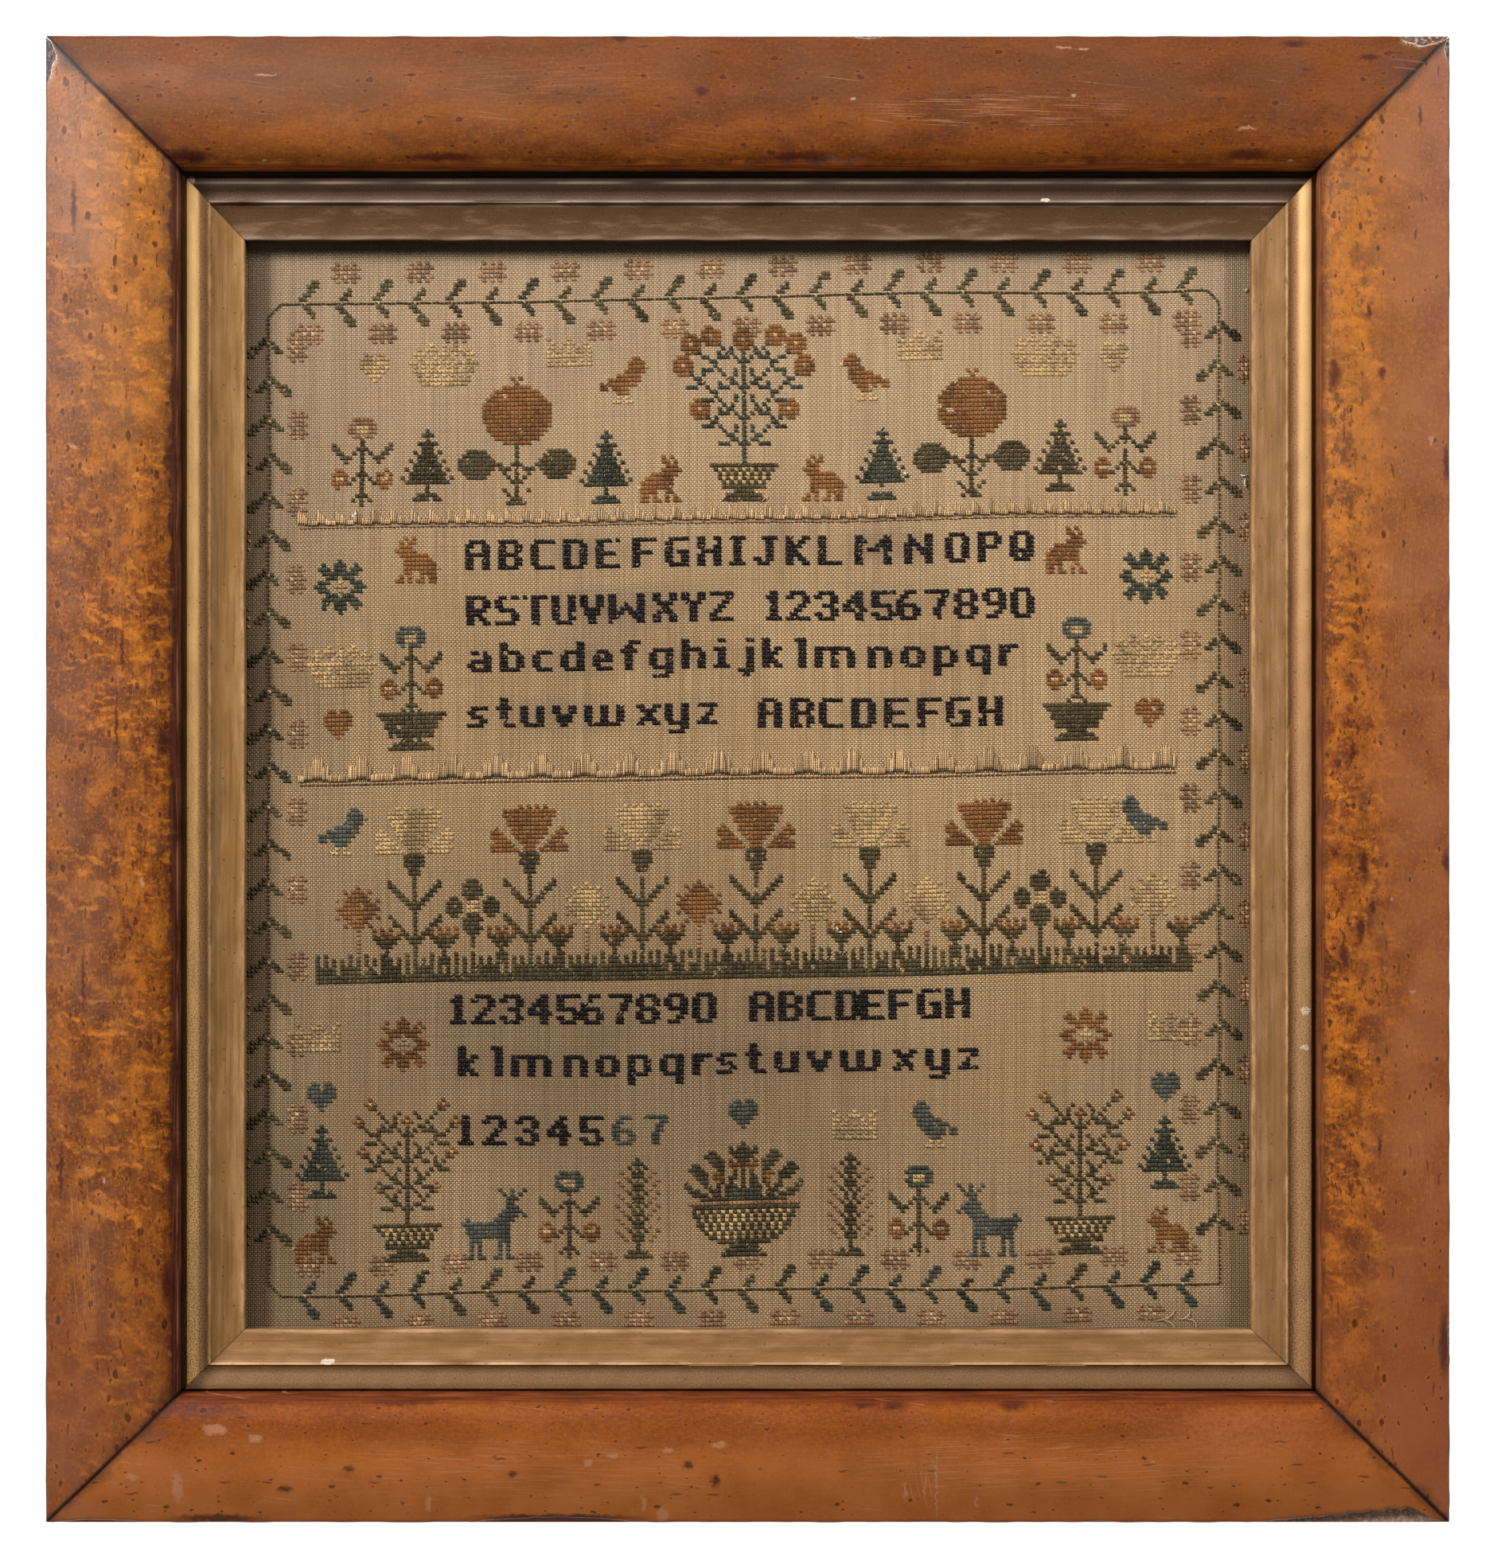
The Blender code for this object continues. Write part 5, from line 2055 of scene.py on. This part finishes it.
def curl_mesh(starts, radius, lift):
    """Closed tapered curls of yarn that lie on the cloth."""
    verts, tris, quads, uv = [], [], [], []
    steps, sides = 10, 5
    for column, row, heading, length, curl in starts:
        base = len(verts)
        x, y, z = (float(v) for v in on_cloth(np.array(column), np.array(row)))
        angle = math.radians(heading)
        for k in range(steps + 1):
            share = k / steps
            thick = radius * math.sqrt(max(1 - (2 * share - 1) ** 2, 0.03))
            height = z + thick + lift * math.sin(math.pi * share)
            for n in range(sides):
                turn = 2 * math.pi * n / sides
                out = thick * math.cos(turn)
                top = height + thick * math.sin(turn)
                verts.append((x - out * math.sin(angle), y + out * math.cos(angle), top))
                uv.append((share * length * MM, n * 0.3 * MM))
            x += math.cos(angle) * length * MM / steps
            y += math.sin(angle) * length * MM / steps
            angle += math.radians(curl) * length / steps
        for k in range(steps):
            for n in range(sides):
                a, b = base + k * sides + n, base + k * sides + (n + 1) % sides
                quads.append((a, b, b + sides, a + sides))
        last = base + steps * sides
        for n in range(1, sides - 1):
            tris.append((base, base + n + 1, base + n))
            tris.append((last, last + n, last + n + 1))
    return np.array(verts), np.array(tris), np.array(quads), np.array(uv)


def loose_threads():
    pieces = []
    for name, starts, radius, lift, tone in (
        ("lint", LINT, 0.24 * MM, 0.30 * MM, (250, 248, 244)),
        ("frayed_ends", FRAYED, 0.13 * MM, 0.35 * MM, (214, 188, 146)),
    ):
        verts, tris, quads, uv = curl_mesh(starts, radius, lift)
        attributes = {"shade": np.full(len(verts), 0.6)}
        material = thread(name, tone)
        piece = new_piece(name, verts, [tris, quads], material, uv, attributes, sharp=math.pi)
        pieces.append(piece)
    return pieces


# Camera, light and floor


def photo_point(px, py, height):
    """The world place under a photo pixel, at a height."""
    scale = PIXEL * (CAMERA_DISTANCE + OUTER_EDGE_HEIGHT - height) / CAMERA_DISTANCE
    return ((px - FRAME_CENTRE_PX[0]) * scale, (FRAME_CENTRE_PX[1] - py) * scale, height)


def add_camera():
    data = bpy.data.cameras.new("camera")
    data.sensor_fit = "VERTICAL"
    data.sensor_height = 36.0
    data.lens = data.sensor_height * CAMERA_DISTANCE / (PHOTO_HEIGHT * PIXEL)
    data.clip_start = 0.05
    camera = bpy.data.objects.new("camera", data)
    bpy.context.scene.collection.objects.link(camera)
    x, y, _ = photo_point(PHOTO_WIDTH / 2, PHOTO_HEIGHT / 2, OUTER_EDGE_HEIGHT)
    camera.location = (x, y, CAMERA_DISTANCE + OUTER_EDGE_HEIGHT)
    bpy.context.scene.camera = camera


def add_light(name, place, size_x, size_y, power, tint=(1.0, 1.0, 1.0)):
    data = bpy.data.lights.new(name, "AREA")
    data.shape = "RECTANGLE"
    data.size = size_x
    data.size_y = size_y
    data.energy = power
    data.color = tint
    light = bpy.data.objects.new(name, data)
    bpy.context.scene.collection.objects.link(light)
    light.location = place
    light.rotation_euler = (-Vector(place)).to_track_quat("-Z", "Y").to_euler()


def add_stage():
    size = 1.6
    verts = np.array([(-size, -size, 0), (size, -size, 0), (size, size, 0), (-size, size, 0)])
    mesh = bpy.data.meshes.new("floor")
    mesh.from_pydata([tuple(v) for v in verts], [], [(0, 1, 2, 3)])
    floor = bpy.data.objects.new("floor", mesh)
    floor.location.z = -0.0005
    bpy.context.scene.collection.objects.link(floor)
    paint = Paint("pale_floor", Base_Color=(0.9, 0.9, 0.9, 1.0), Roughness=0.9, Emission_Strength=0.95)
    paint.shader.inputs["Emission Color"].default_value = (1.0, 1.0, 1.0, 1.0)
    mesh.materials.append(paint.material)


KEY_POWER = 44.0
SIDE_POWER = 22.0
HIGH_POWER = 4.5
WORLD_STRENGTH = 0.08


def add_lights():
    """Two soft lamps to the left and right, both beyond the frame's top side, and a weak higher one."""
    add_light("key", (-1.36, 0.90, 0.85), 0.60, 0.24, KEY_POWER, (1.0, 0.98, 0.95))
    add_light("side", (1.30, 0.90, 0.82), 0.75, 0.30, SIDE_POWER, (1.0, 0.98, 0.95))
    add_light("high", (-0.55, 1.0, 1.0), 0.60, 0.25, HIGH_POWER, (1.0, 0.98, 0.95))
    world = bpy.data.worlds.new("studio")
    bpy.context.scene.world = world
    world.use_nodes = True
    background = world.node_tree.nodes["Background"]
    background.inputs["Color"].default_value = (1.0, 1.0, 1.0, 1.0)
    background.inputs["Strength"].default_value = WORLD_STRENGTH
    bpy.context.scene.view_settings.view_transform = "Standard"


# The softwood of each rail where it shows, light and dark; the bottom rail's is painted much lighter, painted
# light against the shade of the veneer's edge over its losses
RAIL_WOOD_AND_LIGHT = {
    "bottom": ((232, 180, 148), (146, 98, 78)),
    "right": ((104, 74, 60), (56, 38, 30)),
    "top": ((100, 70, 54), (50, 30, 24)),
    "left": ((92, 78, 82), (52, 42, 46)),
}
SIDE_STAIN = ((66, 38, 25), (112, 68, 43))
# The bottom rail's tone where its long bowed loss shows, a reddish stain painted lighter against the shade of
# the veneer's edge
BOW_WOOD_LIGHTENED = (206, 122, 94)
RAIL_DUST = {
    "bottom": (250, 224, 202),
    "right": (196, 178, 160),
    "top": (196, 176, 158),
    "left": (140, 126, 126),
}


def dress_carcase():
    """Materials for the rails and the backboard, which keep their own shapes."""
    for side in SIDES:
        light, dark = RAIL_WOOD_AND_LIGHT[side]
        grain = (14.0, 260.0, 260.0) if side in ("bottom", "top") else (260.0, 14.0, 260.0)
        bare_from = 0.12 if side == "bottom" else None
        wood = old_wood(f"rail_wood_{side}", light, dark, grain, 0.7, RAIL_DUST[side], bare_from)
        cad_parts[f"rail_{side}"].material_slots[0].material = wood
    board = old_wood("board_wood", (150, 116, 80), (104, 76, 50), (180.0, 9.0, 180.0), 0.85)
    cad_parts["backboard"].material_slots[0].material = board


def main():
    add_camera()
    add_lights()
    add_stage()
    dress_carcase()
    for side in SIDES:
        veneer(side)
        gilt_slip(side)
    canvas = sampler()
    sheet = cloth_sheet(linen(), canvas)
    sewn = stitches(canvas) + [border_stem()] + dividers() + loose_threads()


main()
